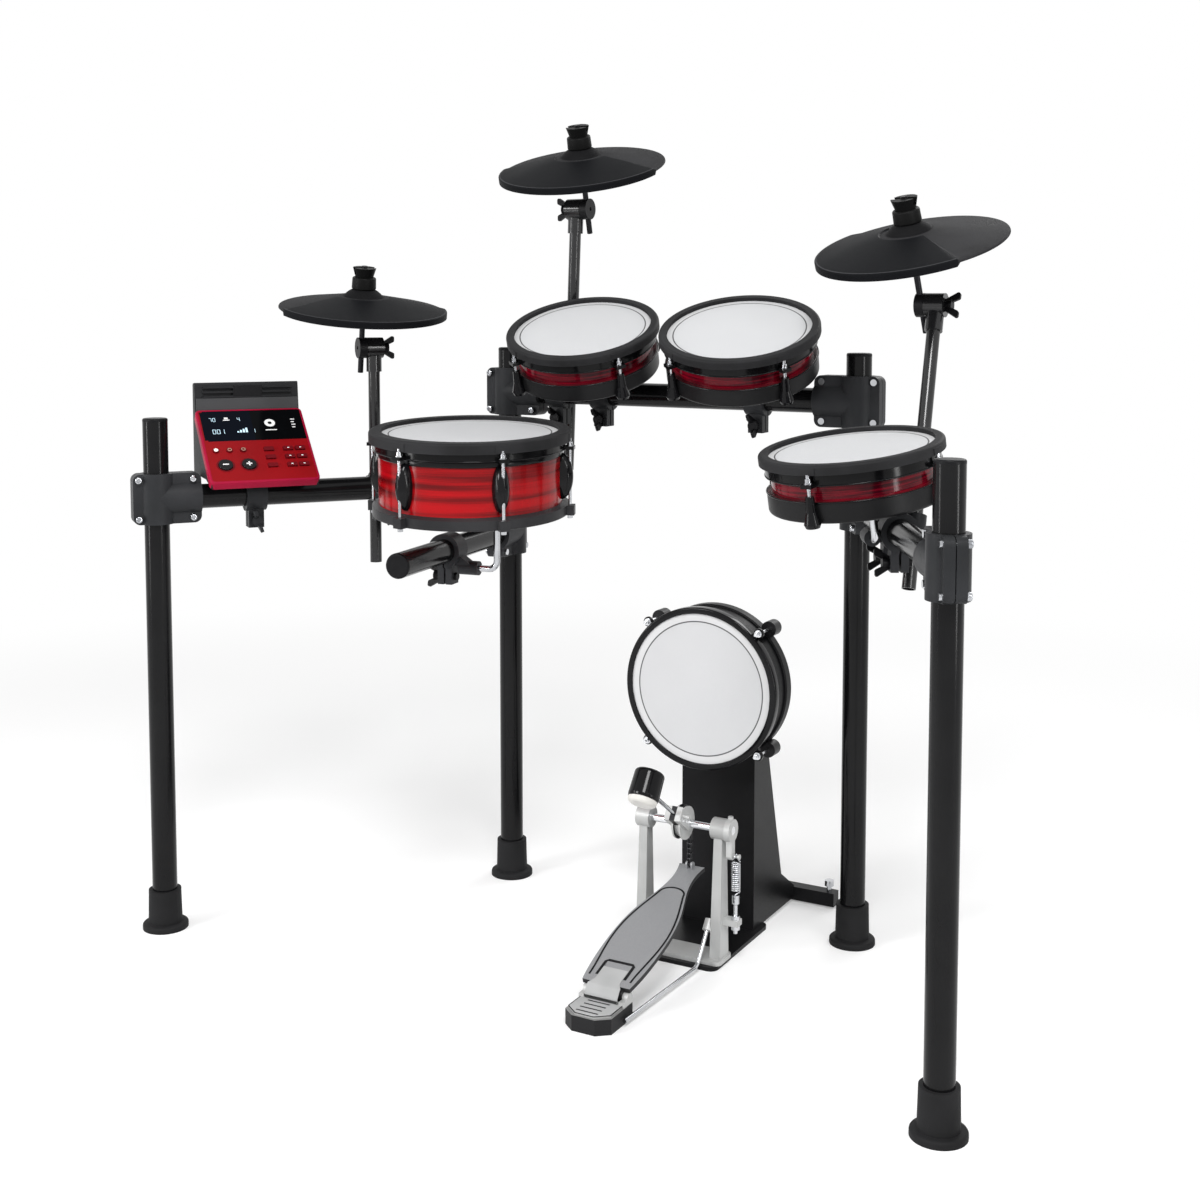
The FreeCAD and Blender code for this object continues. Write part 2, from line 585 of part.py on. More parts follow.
def wing_blades(name):
    """The two wings of a bolt, spread along X behind its hub."""
    span, reach, root = d.wing_span / 2, d.wing_reach, d.wing_hub / 2
    return padded(name,
                  [(-span, -reach), (-span * 0.45, -reach), (-root * 0.45, -reach * 0.4),
                   (root * 0.45, -reach * 0.4),
                   (span * 0.45, -reach), (span, -reach), (root, 0), (-root, 0)], d.wing_thick,
                  [((0, 1, 4, 5), d.wing_thick * 0.6)], role="XZ_Plane", middle=True)


def wing_bolt(name, grip, nut):
    """A wing bolt along +Z: hub and wings below Z 0, shank above, and a nut past the grip."""
    hub = cone(f"{name}_hub", d.wing_hub / 2, d.wing_hub * 0.36, d.wing_hub_height,
               move(0, 0, -d.wing_hub_height))
    shank = cylinder(f"{name}_shank", d.bolt_shank / 2, grip + d.wing_nut)
    pieces = [hub, shank, wing_blades(f"{name}_blades")]
    if nut:
        pieces.append(cylinder(f"{name}_nut", d.bolt_head * 0.6, d.wing_nut, move(0, 0, grip)))
    return fused(name, pieces)


def bar_clamp(name, place, offset, direction, bore, wall, tail):
    """A clamp at a frame on a bar. Its boss, at offset, holds a rod along direction from tail behind it."""
    length = d.ring_width
    boss_place = frame(offset, direction, Vector(direction.y, direction.z, direction.x))
    boss = cylinder(f"{name}_boss", bore / 2 + wall, length, boss_place.multiply(move(0, 0, -length / 2)))
    middle = Vector(0, offset.y, offset.z)
    web = box(f"{name}_web", 0.8 * d.ear_width, bore + wall, middle.Length, frame(Vector(), middle))
    hole = cylinder(f"{name}_rod_hole", bore / 2 + d.pin_gap, 3 * length,
                    boss_place.multiply(move(0, 0, -length / 2 - tail - d.running_gap)))
    body = fused(f"{name}_body", [split_ring(name), web, boss])
    bar_clamps.append((placed(cut(f"{name}_clamp", body, ring_tools(name) + [hole]), place), Placement()))
    wing_spots.append(place.multiply(WING_PLACE))


# Drum pads, built with the top of the rim at Z 0 and placed by their rim centre and tilt

AXES = {}
SIDE_BOSS = TUBE_RADIUS + d.ring_wall + d.l_rod / 2 + d.rod_boss_wall
TOM_LUGS = 4
SNARE_LUGS = 6


TOM_2_CLAMP = d.rear_span - d.tom_2_clamp_back
PAD_SPOTS = {
    "snare": (d.snare_x, ARM_HEIGHT + d.snare_rise),
    "tom_1": (d.tom_1_clamp_along + d.tom_1_shift, REAR_HEIGHT + d.tom_1_rise),
    "tom_2": (TOM_2_CLAMP + d.tom_2_shift, REAR_HEIGHT + d.tom_2_rise),
    "floor_tom": (d.rear_span + d.floor_tom_out, d.side_bar_height + d.floor_tom_rise),
}


def pad_frame(prefix):
    """A pad's frame from its named place and lean."""
    x, z = PAD_SPOTS[prefix]
    y, lean_x, lean_y = (getattr(d, f"{prefix}_{name}") for name in ("y", "lean_ratio_x", "lean_ratio_y"))
    return frame(spot(x, y, z), Vector(float(lean_x), float(lean_y), 1.0))


def pad_core(prefix, rim, inset, lugs, first, rubber):
    """The hoop, its rubber and the head, with the radii and heights that the rest of the pad needs."""
    outer = rim / 2
    hoop_outer = outer - d.rubber_skirt if rubber else outer
    hoop_inner = hoop_outer - d.hoop_wall
    head_outer = hoop_inner - d.running_gap
    shell = head_outer - d.flesh_hoop - d.running_gap
    lip_inner = outer - inset
    rubber_foot = -rim * d.rim_rubber_ratio
    lip_top = -d.rim_rubber_lip if rubber else 0
    lip_bottom = lip_top - d.hoop_lip
    bottom = -d.hoop_height if rubber else -d.kick_hoop_height
    ear_top = bottom + d.ear_thick
    rod = hoop_outer + d.rod_head / 2 + d.washer_lip + d.rod_stand_off
    ring = turned(f"{prefix}_hoop_ring",
                  [(lip_inner, lip_bottom), (hoop_inner, lip_bottom), (hoop_inner, bottom),
                   (hoop_outer, bottom), (hoop_outer, lip_top),
                   (lip_inner, lip_top)])
    ear_length = rod + d.ear_margin - hoop_inner - d.hoop_wall / 2
    ear = box(f"{prefix}_hoop_ear", ear_length, d.hoop_ear_width, d.ear_thick,
              move(rod + d.ear_margin - ear_length / 2, 0, bottom))
    hole = cylinder(f"{prefix}_ear_hole", d.rod_diameter / 2 + d.fit_gap, 3 * d.ear_thick,
                    move(rod, 0, bottom - d.ear_thick))
    ears = gathered(f"{prefix}_ears", ring_of(cut(f"{prefix}_drilled_ear", ear, [hole]), lugs, first))
    solids = [fused(f"{prefix}_hoop_with_ears", [ring, ears])]
    if rubber:
        skirt, seat = hoop_outer + d.fit_gap, lip_top + d.fit_gap
        pad = turned(f"{prefix}_rubber", [(lip_inner, seat), (skirt, seat), (skirt, rubber_foot),
                                          (outer, rubber_foot), (outer, 0), (lip_inner, 0)],
                     [(4, d.rim_round)])
        room = d.rod_head / 2 + d.washer_lip + d.running_gap
        notch_top = ear_top + d.washer_lip + d.rod_head_height + d.rod_key + d.running_gap
        notch = cylinder(f"{prefix}_notch", room, notch_top - rubber_foot + d.ear_thick,
                         move(rod, 0, rubber_foot - d.ear_thick))
        notches = gathered(f"{prefix}_notches", ring_of(notch, lugs, first))
        solids.append(cut(f"{prefix}_rubber_rim", pad, [notches]))
    head_top = lip_bottom - d.fit_gap
    head_low = head_top - d.head_thickness
    flesh = shell + d.running_gap
    head = turned(f"{prefix}_mesh", [(0, head_low), (flesh, head_low), (flesh, head_low - d.flesh_height),
                                     (head_outer, head_low - d.flesh_height), (head_outer, head_top),
                                     (0, head_top)])
    return SimpleNamespace(rim=solids, head=head, shell=shell, top=head_low - d.fit_gap, rod=rod,
                           ear_top=ear_top, bottom=bottom)


def tension_rod(name, core, length):
    """A rod that hangs in a hoop ear, with its washer, round head and square key."""
    shank, head = d.rod_diameter / 2, d.rod_head / 2
    collar = d.washer_lip + d.rod_head_height
    rod = turned(name, [(0, -length), (shank, -length), (shank, 0), (head + d.washer_lip, 0),
                        (head + d.washer_lip, d.washer_lip), (head, d.washer_lip), (head, collar),
                        (head * 0.6, collar),
                        (head * 0.6, collar + d.rod_key), (0, collar + d.rod_key)])
    return placed(rod, move(core.rod, 0, core.ear_top))


def sensor(prefix, core, floor):
    """The trigger inside a pad: a foam cone on a plate that stands on the pad's floor."""
    plate_top = floor + d.sensor_plate
    plate = cylinder(f"{prefix}_sensor_plate", d.sensor_foam * 0.9, d.sensor_plate, move(0, 0, floor))
    foam = cone(f"{prefix}_sensor_cone", d.sensor_foam / 2, d.sensor_foam * 0.22,
                core.top - plate_top - d.running_gap, move(0, 0, plate_top))
    return [plate, foam]


def hung(prefix, place, depth, clamp_frame, boss, leg, direction, tail):
    """The L-shaped mounting rod of a pad: out of the clamp's boss, then up square to the pad's floor."""
    along = clamp_frame.Rotation.multVec(direction)
    middle = clamp_frame.multVec(boss)
    corner = middle + along * float(leg)
    normal = place.Rotation.multVec(UP)
    bottom = place.multVec(Vector(0, 0, -float(depth)))
    top = corner + normal * (bottom - corner).dot(normal)
    start = middle - along * float(d.ring_width / 2 + tail)
    AXES[f"{prefix}_tilt"] = (middle, along)
    rod = bent_rod(f"{prefix}_l_rod", [start, corner, top], d.l_rod / 2, d.l_rod_bend)
    return rod, place.inverse().multVec(top)


def socketed(prefix, cup, spot_on_floor, floor):
    """Adds the socket for the mounting rod under a pad's floor."""
    place = move(spot_on_floor.x, spot_on_floor.y, floor - d.socket_length)
    boss = cylinder(f"{prefix}_socket", d.l_rod / 2 + d.socket_wall, d.socket_length, place)
    bore = cylinder(f"{prefix}_socket_bore", d.l_rod / 2 + d.fit_gap, d.socket_length, place)
    return cut(f"{prefix}_socketed", fused(f"{prefix}_cup_and_socket", [cup, boss]), [bore])


def make_tom(prefix, clamp_frame, boss, leg, first):
    """A tom pad: a shallow cup with a stepped base ring, flared lugs, hoop, head and mounting rod."""
    place = pad_frame(prefix)
    core = pad_core(prefix, d.tom_rim, d.tom_rim_inset, TOM_LUGS, first, rubber=True)
    base, inner = core.shell + d.base_ring_step, core.shell - d.shell_wall
    ring_top, floor = -d.tom_depth + d.base_ring_height, -d.tom_depth + d.shell_wall
    cup = turned(f"{prefix}_cup",
                 [(0, -d.tom_depth), (base, -d.tom_depth), (base, ring_top), (core.shell, ring_top),
                  (core.shell, core.top), (inner, core.top), (inner, floor), (0, floor)],
                 [(1, d.base_ring_step * 0.6), (2, d.base_ring_step * 0.3)])
    l_rod, socket_spot = hung(prefix, place, d.tom_depth, clamp_frame, boss, leg, Vector(1, 0, 0),
                              d.l_rod_tail)
    shell = socketed(prefix, cup, socket_spot, -d.tom_depth)
    node(f"{prefix}_shell", [shell] + sensor(prefix, core, floor), place)
    node(f"{prefix}_head", [core.head], place)
    node(f"{prefix}_rim", core.rim, place)

    wide, high, low = d.tom_lug_width / 2, d.tom_lug_height, -d.tom_depth - d.tom_lug_drop
    bell = turned(f"{prefix}_lug_bell",
                  [(0, 0), (wide * 0.8, 0), (wide, high * 0.12), (wide * 0.62, high * 0.5),
                   (wide * 0.5, high), (0, high)])
    back = cylinder(f"{prefix}_lug_back", base + d.fit_gap, 2 * d.tom_depth, move(0, 0, -1.5 * d.tom_depth))
    hole = cylinder(f"{prefix}_lug_hole", d.rod_diameter / 2 + d.fit_gap, d.tom_lug_hole + high,
                    move(core.rod, 0, low + high - d.tom_lug_hole))
    lug = cut(f"{prefix}_lug", placed(bell, move(core.rod, 0, low)), [back, hole])
    copies(f"{prefix}_lugs", at(place, ring_of(lug, TOM_LUGS, first)))
    rod = tension_rod(f"{prefix}_rod", core, core.ear_top - low - high + d.tom_lug_hole * 0.8)
    copies(f"{prefix}_rods", at(place, ring_of(rod, TOM_LUGS, first)) + [(l_rod, Placement())])
    bar_clamp(f"{prefix}_bar", clamp_frame, boss, Vector(1, 0, 0), d.l_rod, d.rod_boss_wall, d.l_rod_tail)


def make_toms():
    tom_boss = Vector(0, -float(SIDE_BOSS), float(d.tom_boss_rise))
    floor_boss = Vector(0, -float(SIDE_BOSS), float(d.floor_tom_boss_rise))
    lug_angle = float(d.tom_lug_angle)
    make_tom("tom_1", REAR.multiply(move(d.tom_1_clamp_along)), tom_boss, d.tom_leg, lug_angle)
    make_tom("tom_2", REAR.multiply(move(TOM_2_CLAMP)), tom_boss, d.tom_leg, lug_angle)
    make_tom("floor_tom", RIGHT.multiply(move(d.floor_tom_clamp_along)), floor_boss, d.floor_tom_leg,
             float(d.floor_tom_lug_angle))


def make_snare():
    """The snare pad: a deep shell between two hoops, with long oval lugs that two rods enter."""
    place = pad_frame("snare")
    first = float(d.snare_lug_angle)
    core = pad_core("snare", d.snare_rim, d.snare_rim_inset, SNARE_LUGS, first, rubber=True)
    base, inner = -d.snare_depth + d.snare_recess, core.shell - d.shell_wall
    floor = base + d.shell_wall
    cup = turned("snare_cup",
                 [(0, base), (core.shell, base), (core.shell, core.top), (inner, core.top), (inner, floor),
                  (0, floor)])
    clamp_frame = ARM.multiply(move(d.snare_clamp_along))
    boss = Vector(0, float(SIDE_BOSS), float(d.snare_boss_rise))
    tail = -d.l_rod * 0.2
    l_rod, socket_spot = hung("snare", place, d.snare_depth - d.snare_recess, clamp_frame, boss,
                              d.snare_leg,
                              Vector(0, 1, 0), tail)
    node("snare_shell", [socketed("snare", cup, socket_spot, base)] + sensor("snare", core, floor), place)
    node("snare_head", [core.head], place)
    node("snare_rim", core.rim, place)

    hoop_top, seat = -d.snare_depth + d.bottom_hoop_height, core.shell + d.fit_gap
    wide = core.shell + d.hoop_wall + d.rubber_skirt
    ring = turned("snare_bottom_ring",
                  [(seat, -d.snare_depth), (wide, -d.snare_depth), (wide, hoop_top - d.bottom_hoop_chamfer),
                   (seat, hoop_top)], [(1, d.bottom_hoop_chamfer * 0.8)])
    ear_height = d.bottom_hoop_height - d.bottom_hoop_chamfer
    ear = box("snare_low_ear", core.rod + d.ear_margin - wide + d.hoop_wall, d.hoop_ear_width, ear_height,
              move((core.rod + d.ear_margin + wide - d.hoop_wall) / 2, 0, -d.snare_depth))
    hole = cylinder("snare_low_hole", d.rod_diameter / 2 + d.fit_gap, 3 * ear_height,
                    move(core.rod, 0, -d.snare_depth - ear_height))
    ears = gathered("snare_low_ears", ring_of(ear, SNARE_LUGS, first))
    holes = gathered("snare_low_holes", ring_of(hole, SNARE_LUGS, first))
    node("snare_bottom_hoop", [cut("snare_low_hoop", fused("snare_low_body", [ring, ears]), [holes])],
         place)

    middle = (core.bottom + hoop_top) / 2
    body = doc.addObject("Part::Ellipsoid", "snare_lug_body")
    bind(body, Radius1=d.snare_lug_height / 2, Radius2=core.rod - core.shell + d.snare_lug_proud,
         Radius3=d.snare_lug_width / 2)
    body.Placement = move(core.shell, 0, middle)
    tools = [cylinder("snare_lug_back", core.shell + d.fit_gap, 2 * d.snare_depth,
                      move(0, 0, -1.5 * d.snare_depth)),
             cylinder("snare_lug_hole", d.rod_diameter / 2 + d.fit_gap, 2 * d.snare_lug_height,
                      move(core.rod, 0, middle - d.snare_lug_height))]
    copies("snare_lugs", at(place, ring_of(cut("snare_lug", body, tools), SNARE_LUGS, first)))

    inside = d.snare_lug_height * 0.1
    upper = tension_rod("snare_upper_rod", core, core.ear_top - middle - inside)
    head, shank = d.rod_head / 2, d.rod_diameter / 2
    length = middle - inside + d.snare_depth + d.rod_head_height
    lower = turned("snare_lower_rod",
                   [(0, 0), (head, 0), (head, d.rod_head_height), (shank, d.rod_head_height),
                    (shank, length), (0, length)])
    lower = placed(lower, move(core.rod, 0, -d.snare_depth - d.rod_head_height))
    pairs = ring_of(upper, SNARE_LUGS, first) + ring_of(lower, SNARE_LUGS, first)
    copies("snare_rods", at(place, pairs) + [(l_rod, Placement())])
    bar_clamp("snare_bar", clamp_frame, boss, Vector(0, 1, 0), d.l_rod, d.rod_boss_wall, tail)


# Cymbals: rubber plates that sway on a ball seat at the top of a tilting rod

CYMBAL_RADIUS = d.cymbal_diameter / 2
BELL_OUTER = d.bell_inner + d.bell_wall


def ball_height(radius, reach):
    """The height of a ball face above its centre, at a distance from the axis."""
    return math.sqrt(float(radius) ** 2 - float(reach) ** 2)


def cymbal_plate(name):
    """A cymbal about its sway centre: ball-shaped bell, sloping bow, and a thick playing zone towards -Y."""
    hole, bell = d.cymbal_hole / 2, d.bell_radius
    foot, shoulder = ball_height(d.bell_inner, bell), ball_height(BELL_OUTER, bell)
    edge = foot - d.cymbal_drop
    body = turned(name, [(hole, ball_height(d.bell_inner, hole)), (bell, foot), (CYMBAL_RADIUS, edge),
                         (CYMBAL_RADIUS, edge + d.cymbal_thick), (bell, shoulder),
                         (hole, ball_height(BELL_OUTER, hole))],
                  arcs={0: (0.0, d.bell_inner), 4: (0.0, BELL_OUTER)})
    share = float((d.zone_start - bell) / (CYMBAL_RADIUS - bell))
    low = foot - share * d.cymbal_drop
    high = shoulder + share * (edge + d.cymbal_thick - shoulder)
    rim = CYMBAL_RADIUS + d.zone_thick / 2
    zone = new_sketch(body, "YZ_Plane")
    draw(zone, [(-rim, edge - d.cymbal_lip), (-rim, edge + d.cymbal_thick + d.zone_thick),
                (-d.zone_start, high + d.zone_thick),
                (-d.zone_start, low + d.cymbal_thick / 4),
                (-rim + 2 * d.cymbal_lip, edge + d.cymbal_thick / 4),
                (-rim + d.cymbal_lip, edge - d.cymbal_lip)])
    feature = body.newObject("PartDesign::Revolution", f"{name}_zone")
    feature.Profile = zone
    feature.ReferenceAxis = (zone, ["V_Axis"])
    feature.Midplane = True
    bind(feature, Angle=d.zone_angle)
    body.Tip = feature
    return body


def seat_washer(name):
    """A cup washer on the rod whose top is a ball face under the bell."""
    reach, bore, face = d.washer_diameter / 2, d.cymbal_rod / 2 + d.fit_gap, d.bell_inner - d.running_gap
    low = ball_height(face, reach)
    return turned(name, [(bore, low - d.washer_thick), (reach, low - d.washer_thick), (reach, low),
                         (bore, ball_height(face, bore))], arcs={2: (0.0, face)})


def crown_nut(name):
    """A rubber wing nut whose foot is a ball face over the bell; a slot across its top leaves two ears."""
    reach, bore, face = d.washer_diameter / 2, d.cymbal_rod / 2 + d.fit_gap, BELL_OUTER + d.running_gap
    foot = ball_height(face, reach)
    waist, top = d.crown_diameter / 2, foot + d.crown_height
    neck = turned(f"{name}_neck",
                  [(bore, ball_height(face, bore)), (reach, foot), (reach, foot + d.crown_foot),
                   (waist * 0.85, foot + 1.5 * d.crown_foot),
                   (waist * 0.85, foot + d.crown_height * 0.55),
                   (waist * 1.1, top), (bore, top)], arcs={0: (0.0, face)})
    slot = box(f"{name}_slot", 4 * d.crown_diameter, d.cymbal_rod + 4 * d.fit_gap, 2 * d.crown_slot,
               move(0, 0, top - d.crown_slot))
    return cut(name, neck, [slot])


def make_stand(prefix, bar, boom_lean, hinge, away):
    """A boom on a bar clamp, its tilter, and the rod with the cymbal, washer and wing nut."""
    along, below, above, reach, lean_x, lean_y = (
        getattr(d, f"{prefix}_{name}")
        for name in ("along", "below", "above", "reach", "lean_ratio_x", "lean_ratio_y"))
    clamp_frame = bar.multiply(move(along))
    boss = Vector(0, float(TUBE_RADIUS + d.boom_diameter / 2 + d.boom_gap), 0)
    direction = unit(boom_lean)
    middle = clamp_frame.multVec(boss)
    base = middle - direction * (float(below) / direction.z)
    top = middle + direction * (float(above) / direction.z)
    boom = placed(tube(f"{prefix}_boom", d.boom_diameter, d.boom_wall, (top - base).Length),
                  frame(base, direction, hinge))
    pivot = top + direction * float(d.tilter_diameter / 2 + d.tilter_rise)
    ferrule_radius = d.boom_diameter / 2 + d.ferrule_wall
    gap, disc, thick = d.running_gap / 2, d.tilter_diameter / 2, 2 * ferrule_radius + d.ferrule_wall
    side = frame(pivot + unit(hinge) * (away * float(thick / 2 + gap)), hinge * away, direction)
    grip_place = frame(top - direction * float(d.ferrule_grip), direction, hinge)
    ferrule = cylinder(f"{prefix}_ferrule", ferrule_radius, d.ferrule_grip + 2 * d.tilter_rise, grip_place)
    ferrule_bore = cylinder(f"{prefix}_ferrule_bore", d.boom_diameter / 2 + d.fit_gap, d.ferrule_grip,
                            grip_place)
    low_disc = cylinder(f"{prefix}_low_disc", disc, thick, side.multiply(move(0, 0, -thick - gap)))
    pin = d.bolt_shank / 2 + d.pin_gap
    holes = [cylinder(f"{prefix}_pin_hole_{i}", pin, 4 * thick, side.multiply(move(0, 0, -2 * thick)))
             for i in range(2)]
    foot = cut(f"{prefix}_tilter_foot", fused(f"{prefix}_foot_body", [ferrule, low_disc]),
               [ferrule_bore, holes[0]])

    normal = unit(Vector(float(lean_x), float(lean_y), 1.0))
    rod_base = side.multVec(UP * float(d.tilter_thick / 2 + gap))
    sway = rod_base + normal * float(reach)
    downhill = Vector(normal.x, normal.y, 0)
    seat = frame(sway, normal, UP.cross(downhill))
    head = cylinder(f"{prefix}_tilter_head", disc, d.tilter_thick, side.multiply(move(0, 0, gap)))
    tail = disc + d.rod_tail
    bar_length = tail + reach + BELL_OUTER + d.crown_height + d.rod_tip - d.crown_foot
    bar_rod = cylinder(f"{prefix}_rod_bar", d.cymbal_rod / 2, bar_length,
                       frame(rod_base - normal * float(tail), normal, hinge))
    tilter = cut(f"{prefix}_tilter", fused(f"{prefix}_tilter_body", [head, bar_rod]), [holes[1]])
    node(f"{prefix}_rod", [tilter, placed(seat_washer(f"{prefix}_washer"), seat)])
    node(f"{prefix}_wing_nut", [crown_nut(f"{prefix}_crown")], seat)
    node(f"{prefix}_cymbal", [cymbal_plate(f"{prefix}_plate")], seat)
    AXES[f"{prefix}_tilter"] = (pivot, unit(hinge))
    AXES[f"{prefix}_sway"] = (sway, unit(UP.cross(downhill)))
    local = clamp_frame.Rotation.inverted().multVec(direction)
    bar_clamp(f"{prefix}_bar", clamp_frame, boss, local, d.boom_diameter, d.boom_boss_wall, d.ring_width)
    return [(boom, Placement()), (foot, Placement())], side.multiply(move(0, 0, -thick - gap))


def make_cymbals():
    booms, pins = [], []
    left_way, rear_way = LEFT.Rotation.multVec(Vector(1, 0, 0)), Vector(1, 0, 0)
    crash_lean = Vector(float(d.crash_boom_ratio_x), float(d.crash_boom_ratio_y), 1.0)
    ride_lean = Vector(float(d.ride_boom_ratio_x), float(d.ride_boom_ratio_y), 1.0)
    for prefix, bar, lean, hinge, away in (("hihat", LEFT, UP, left_way, -1),
                                           ("crash", REAR, crash_lean, rear_way, 1),
                                           ("ride", RIGHT, ride_lean, rear_way, -1)):
        pieces, pin = make_stand(prefix, bar, lean, hinge, away)
        booms += pieces
        pins.append(pin)
    copies("boom_tubes", booms)
    return pins


# Module: a wedge-shaped case with a sloping panel, on a clamp that turns about the left bar

MODULE = LEFT.multiply(move(d.module_along))
KEY_COLUMNS = (d.key_first_column, d.key_second_column, d.key_third_column)
KEY_ROWS = (0, 1, 2)
RIBS = 5
MODE_COLUMNS = [d.mode_first_column + i * d.mode_pitch for i in range(3)]
VALUE_SPOTS = {"minus_button": (d.minus_column, d.value_row), "plus_button": (d.plus_column, d.value_row)}


def rectangle(wide, high):
    """The corners of a rectangle about the origin."""
    return [(-wide / 2, -high / 2), (wide / 2, -high / 2), (wide / 2, high / 2), (-wide / 2, high / 2)]


def make_module():
    slope = math.radians(float(d.module_recline))
    panel_up = Vector(0, math.sin(slope), math.cos(slope))
    panel_out = Vector(0, -math.cos(slope), math.sin(slope))
    panel_middle = Vector(0, -float(d.module_forward), float(d.module_lift))
    top = panel_middle + panel_up * float(d.module_panel / 2)
    low = panel_middle - panel_up * float(d.module_panel / 2)
    outline = [(-d.module_back, d.module_floor), (-d.module_back, d.module_rise),
               (d.module_top - d.module_back, d.module_rise + d.rib_size),
               (-top.y - d.module_ledge, top.z + d.module_ledge / 4),
               (-top.y, top.z), (-low.y, low.z), (-low.y - d.module_ledge, low.z - d.module_nose),
               (d.module_toe, d.module_floor)]
    case = padded("module_case_body", outline, d.module_width, [((1, 2), d.module_ledge)], role="XZ_Plane",
                  middle=True)
    face = frame(Vector(0, top.y + float(d.module_ledge), top.z), Vector(0, 0, 1))
    ribs = [box(f"module_rib_{i}", d.module_width - d.rib_margin, 2 * d.rib_size, d.rib_size,
                face.multiply(move(0, d.rib_size / 2, d.rib_start + i * d.rib_pitch))) for i in range(RIBS)]
    case = placed(case, move(turn=turn((0, 0, 1), -90)))
    down = low - top
    mouth = [top + down * share for share in (d.mouth_top_ratio, d.mouth_low_ratio)]
    lips = [point + panel_out for point in mouth]
    wall, back = d.case_wall, -d.module_back + d.case_wall
    inside = [(back, d.module_floor + wall), (back, d.module_rise - wall),
              (d.module_top - d.module_back - wall, d.module_rise - wall),
              (-top.y - d.module_ledge - wall, top.z), (-mouth[0].y, mouth[0].z), (-lips[0].y, lips[0].z),
              (-lips[1].y, lips[1].z), (-mouth[1].y, mouth[1].z), (d.module_toe, d.module_floor + wall)]
    hollow = padded("module_case_hollow", inside, d.module_width - 2 * wall, role="XZ_Plane", middle=True)
    hollow = placed(hollow, move(turn=turn((0, 0, 1), -90)))
    node("module_case", [cut("module_hollow_case", fused("module_ribbed_case", [case] + ribs), [hollow])],
         MODULE)

    neck = box("module_neck", d.ring_width, d.ear_depth, d.module_floor)
    body = fused("module_clamp_body", [split_ring("module_bar"), neck])
    ring = cut("module_clamp_ring", body, ring_tools("module_bar"))
    wing = placed(wing_bolt("module_wing", d.ear_depth, True), WING_PLACE)
    node("module_clamp", [ring, wing], MODULE)
    AXES["module_tilt"] = (MODULE.Base, MODULE.Rotation.multVec(Vector(1, 0, 0)))

    panel_on = MODULE.multiply(frame(panel_middle, panel_out))
    AXES["panel"] = (panel_on.Base, panel_on.Rotation.multVec(UP))
    keys = [(x, d.key_first_row - row * d.key_pitch) for x in KEY_COLUMNS for row in KEY_ROWS]
    modes = [(x, d.key_first_row) for x in MODE_COLUMNS]
    gap, deep = 2 * d.button_gap, 3 * d.panel_thick
    plate = padded("module_panel_plate", rectangle(d.module_width, d.module_panel), d.panel_thick,
                   [((0, 1, 2, 3), d.panel_corner)])
    wells = [box(f"panel_key_well_{i}", d.key_width + gap, d.key_height + gap, deep,
                 move(x, y, -d.panel_thick))
             for i, (x, y) in enumerate(keys)]
    rounds = [(x, y, d.mode_button) for x, y in modes]
    rounds += [(x, y, d.big_button) for x, y in VALUE_SPOTS.values()]
    wells += [cylinder(f"panel_round_well_{i}", (wide + gap) / 2, deep, move(x, y, -d.panel_thick))
              for i, (x, y, wide) in enumerate(rounds)]
    screen = move(0, d.module_panel / 2 - d.display_height / 2 - d.display_margin,
                  d.panel_thick - d.display_thick)
    recess = box("panel_display_recess", d.module_width - 2 * d.display_margin, d.display_height,
                 d.panel_thick, screen)
    node("module_panel", [cut("module_panel_cut", plate, wells + [recess])], panel_on)
    glass = box("module_display_glass", d.module_width - 2 * d.display_margin - 2 * d.fit_gap,
                d.display_height - 2 * d.fit_gap, d.display_thick + d.fit_gap, screen)
    node("module_display", [glass], panel_on)

    floor, cap_top = d.button_travel + d.running_gap, d.panel_thick + d.button_proud

    def round_cap(name, wide):
        return turned(name, [(0, floor), (wide / 2, floor), (wide / 2, cap_top), (0, cap_top)],
                      [(2, d.button_gap * 2)])

    for name, (x, y) in VALUE_SPOTS.items():
        node(name, [round_cap(f"{name}_cap", d.big_button)], panel_on.multiply(move(x, y)))
    mode_cap = round_cap("mode_cap", d.mode_button)
    key_cap = padded("key_cap", rectangle(d.key_width, d.key_height), cap_top - floor,
                     [((0, 1, 2, 3), d.key_height * 0.2)])
    copies("key_buttons", [(key_cap, panel_on.multiply(move(x, y, floor))) for x, y in keys]
           + [(mode_cap, panel_on.multiply(move(x, y))) for x, y in modes])


# Kick pad on its tower

KICK_LUGS = 4
KICK_FIRST = 45.0
PLATE_Y = d.kick_face_y + d.kick_depth
PEDAL = spot(d.kick_x, 0, 0)


def by_pedal(x=0, y=0, z=0):
    """A place in the pedal's own frame: X from its middle, Y along the plan, Z up."""
    return move(PEDAL.x + float(x), PEDAL.y + float(y), z)


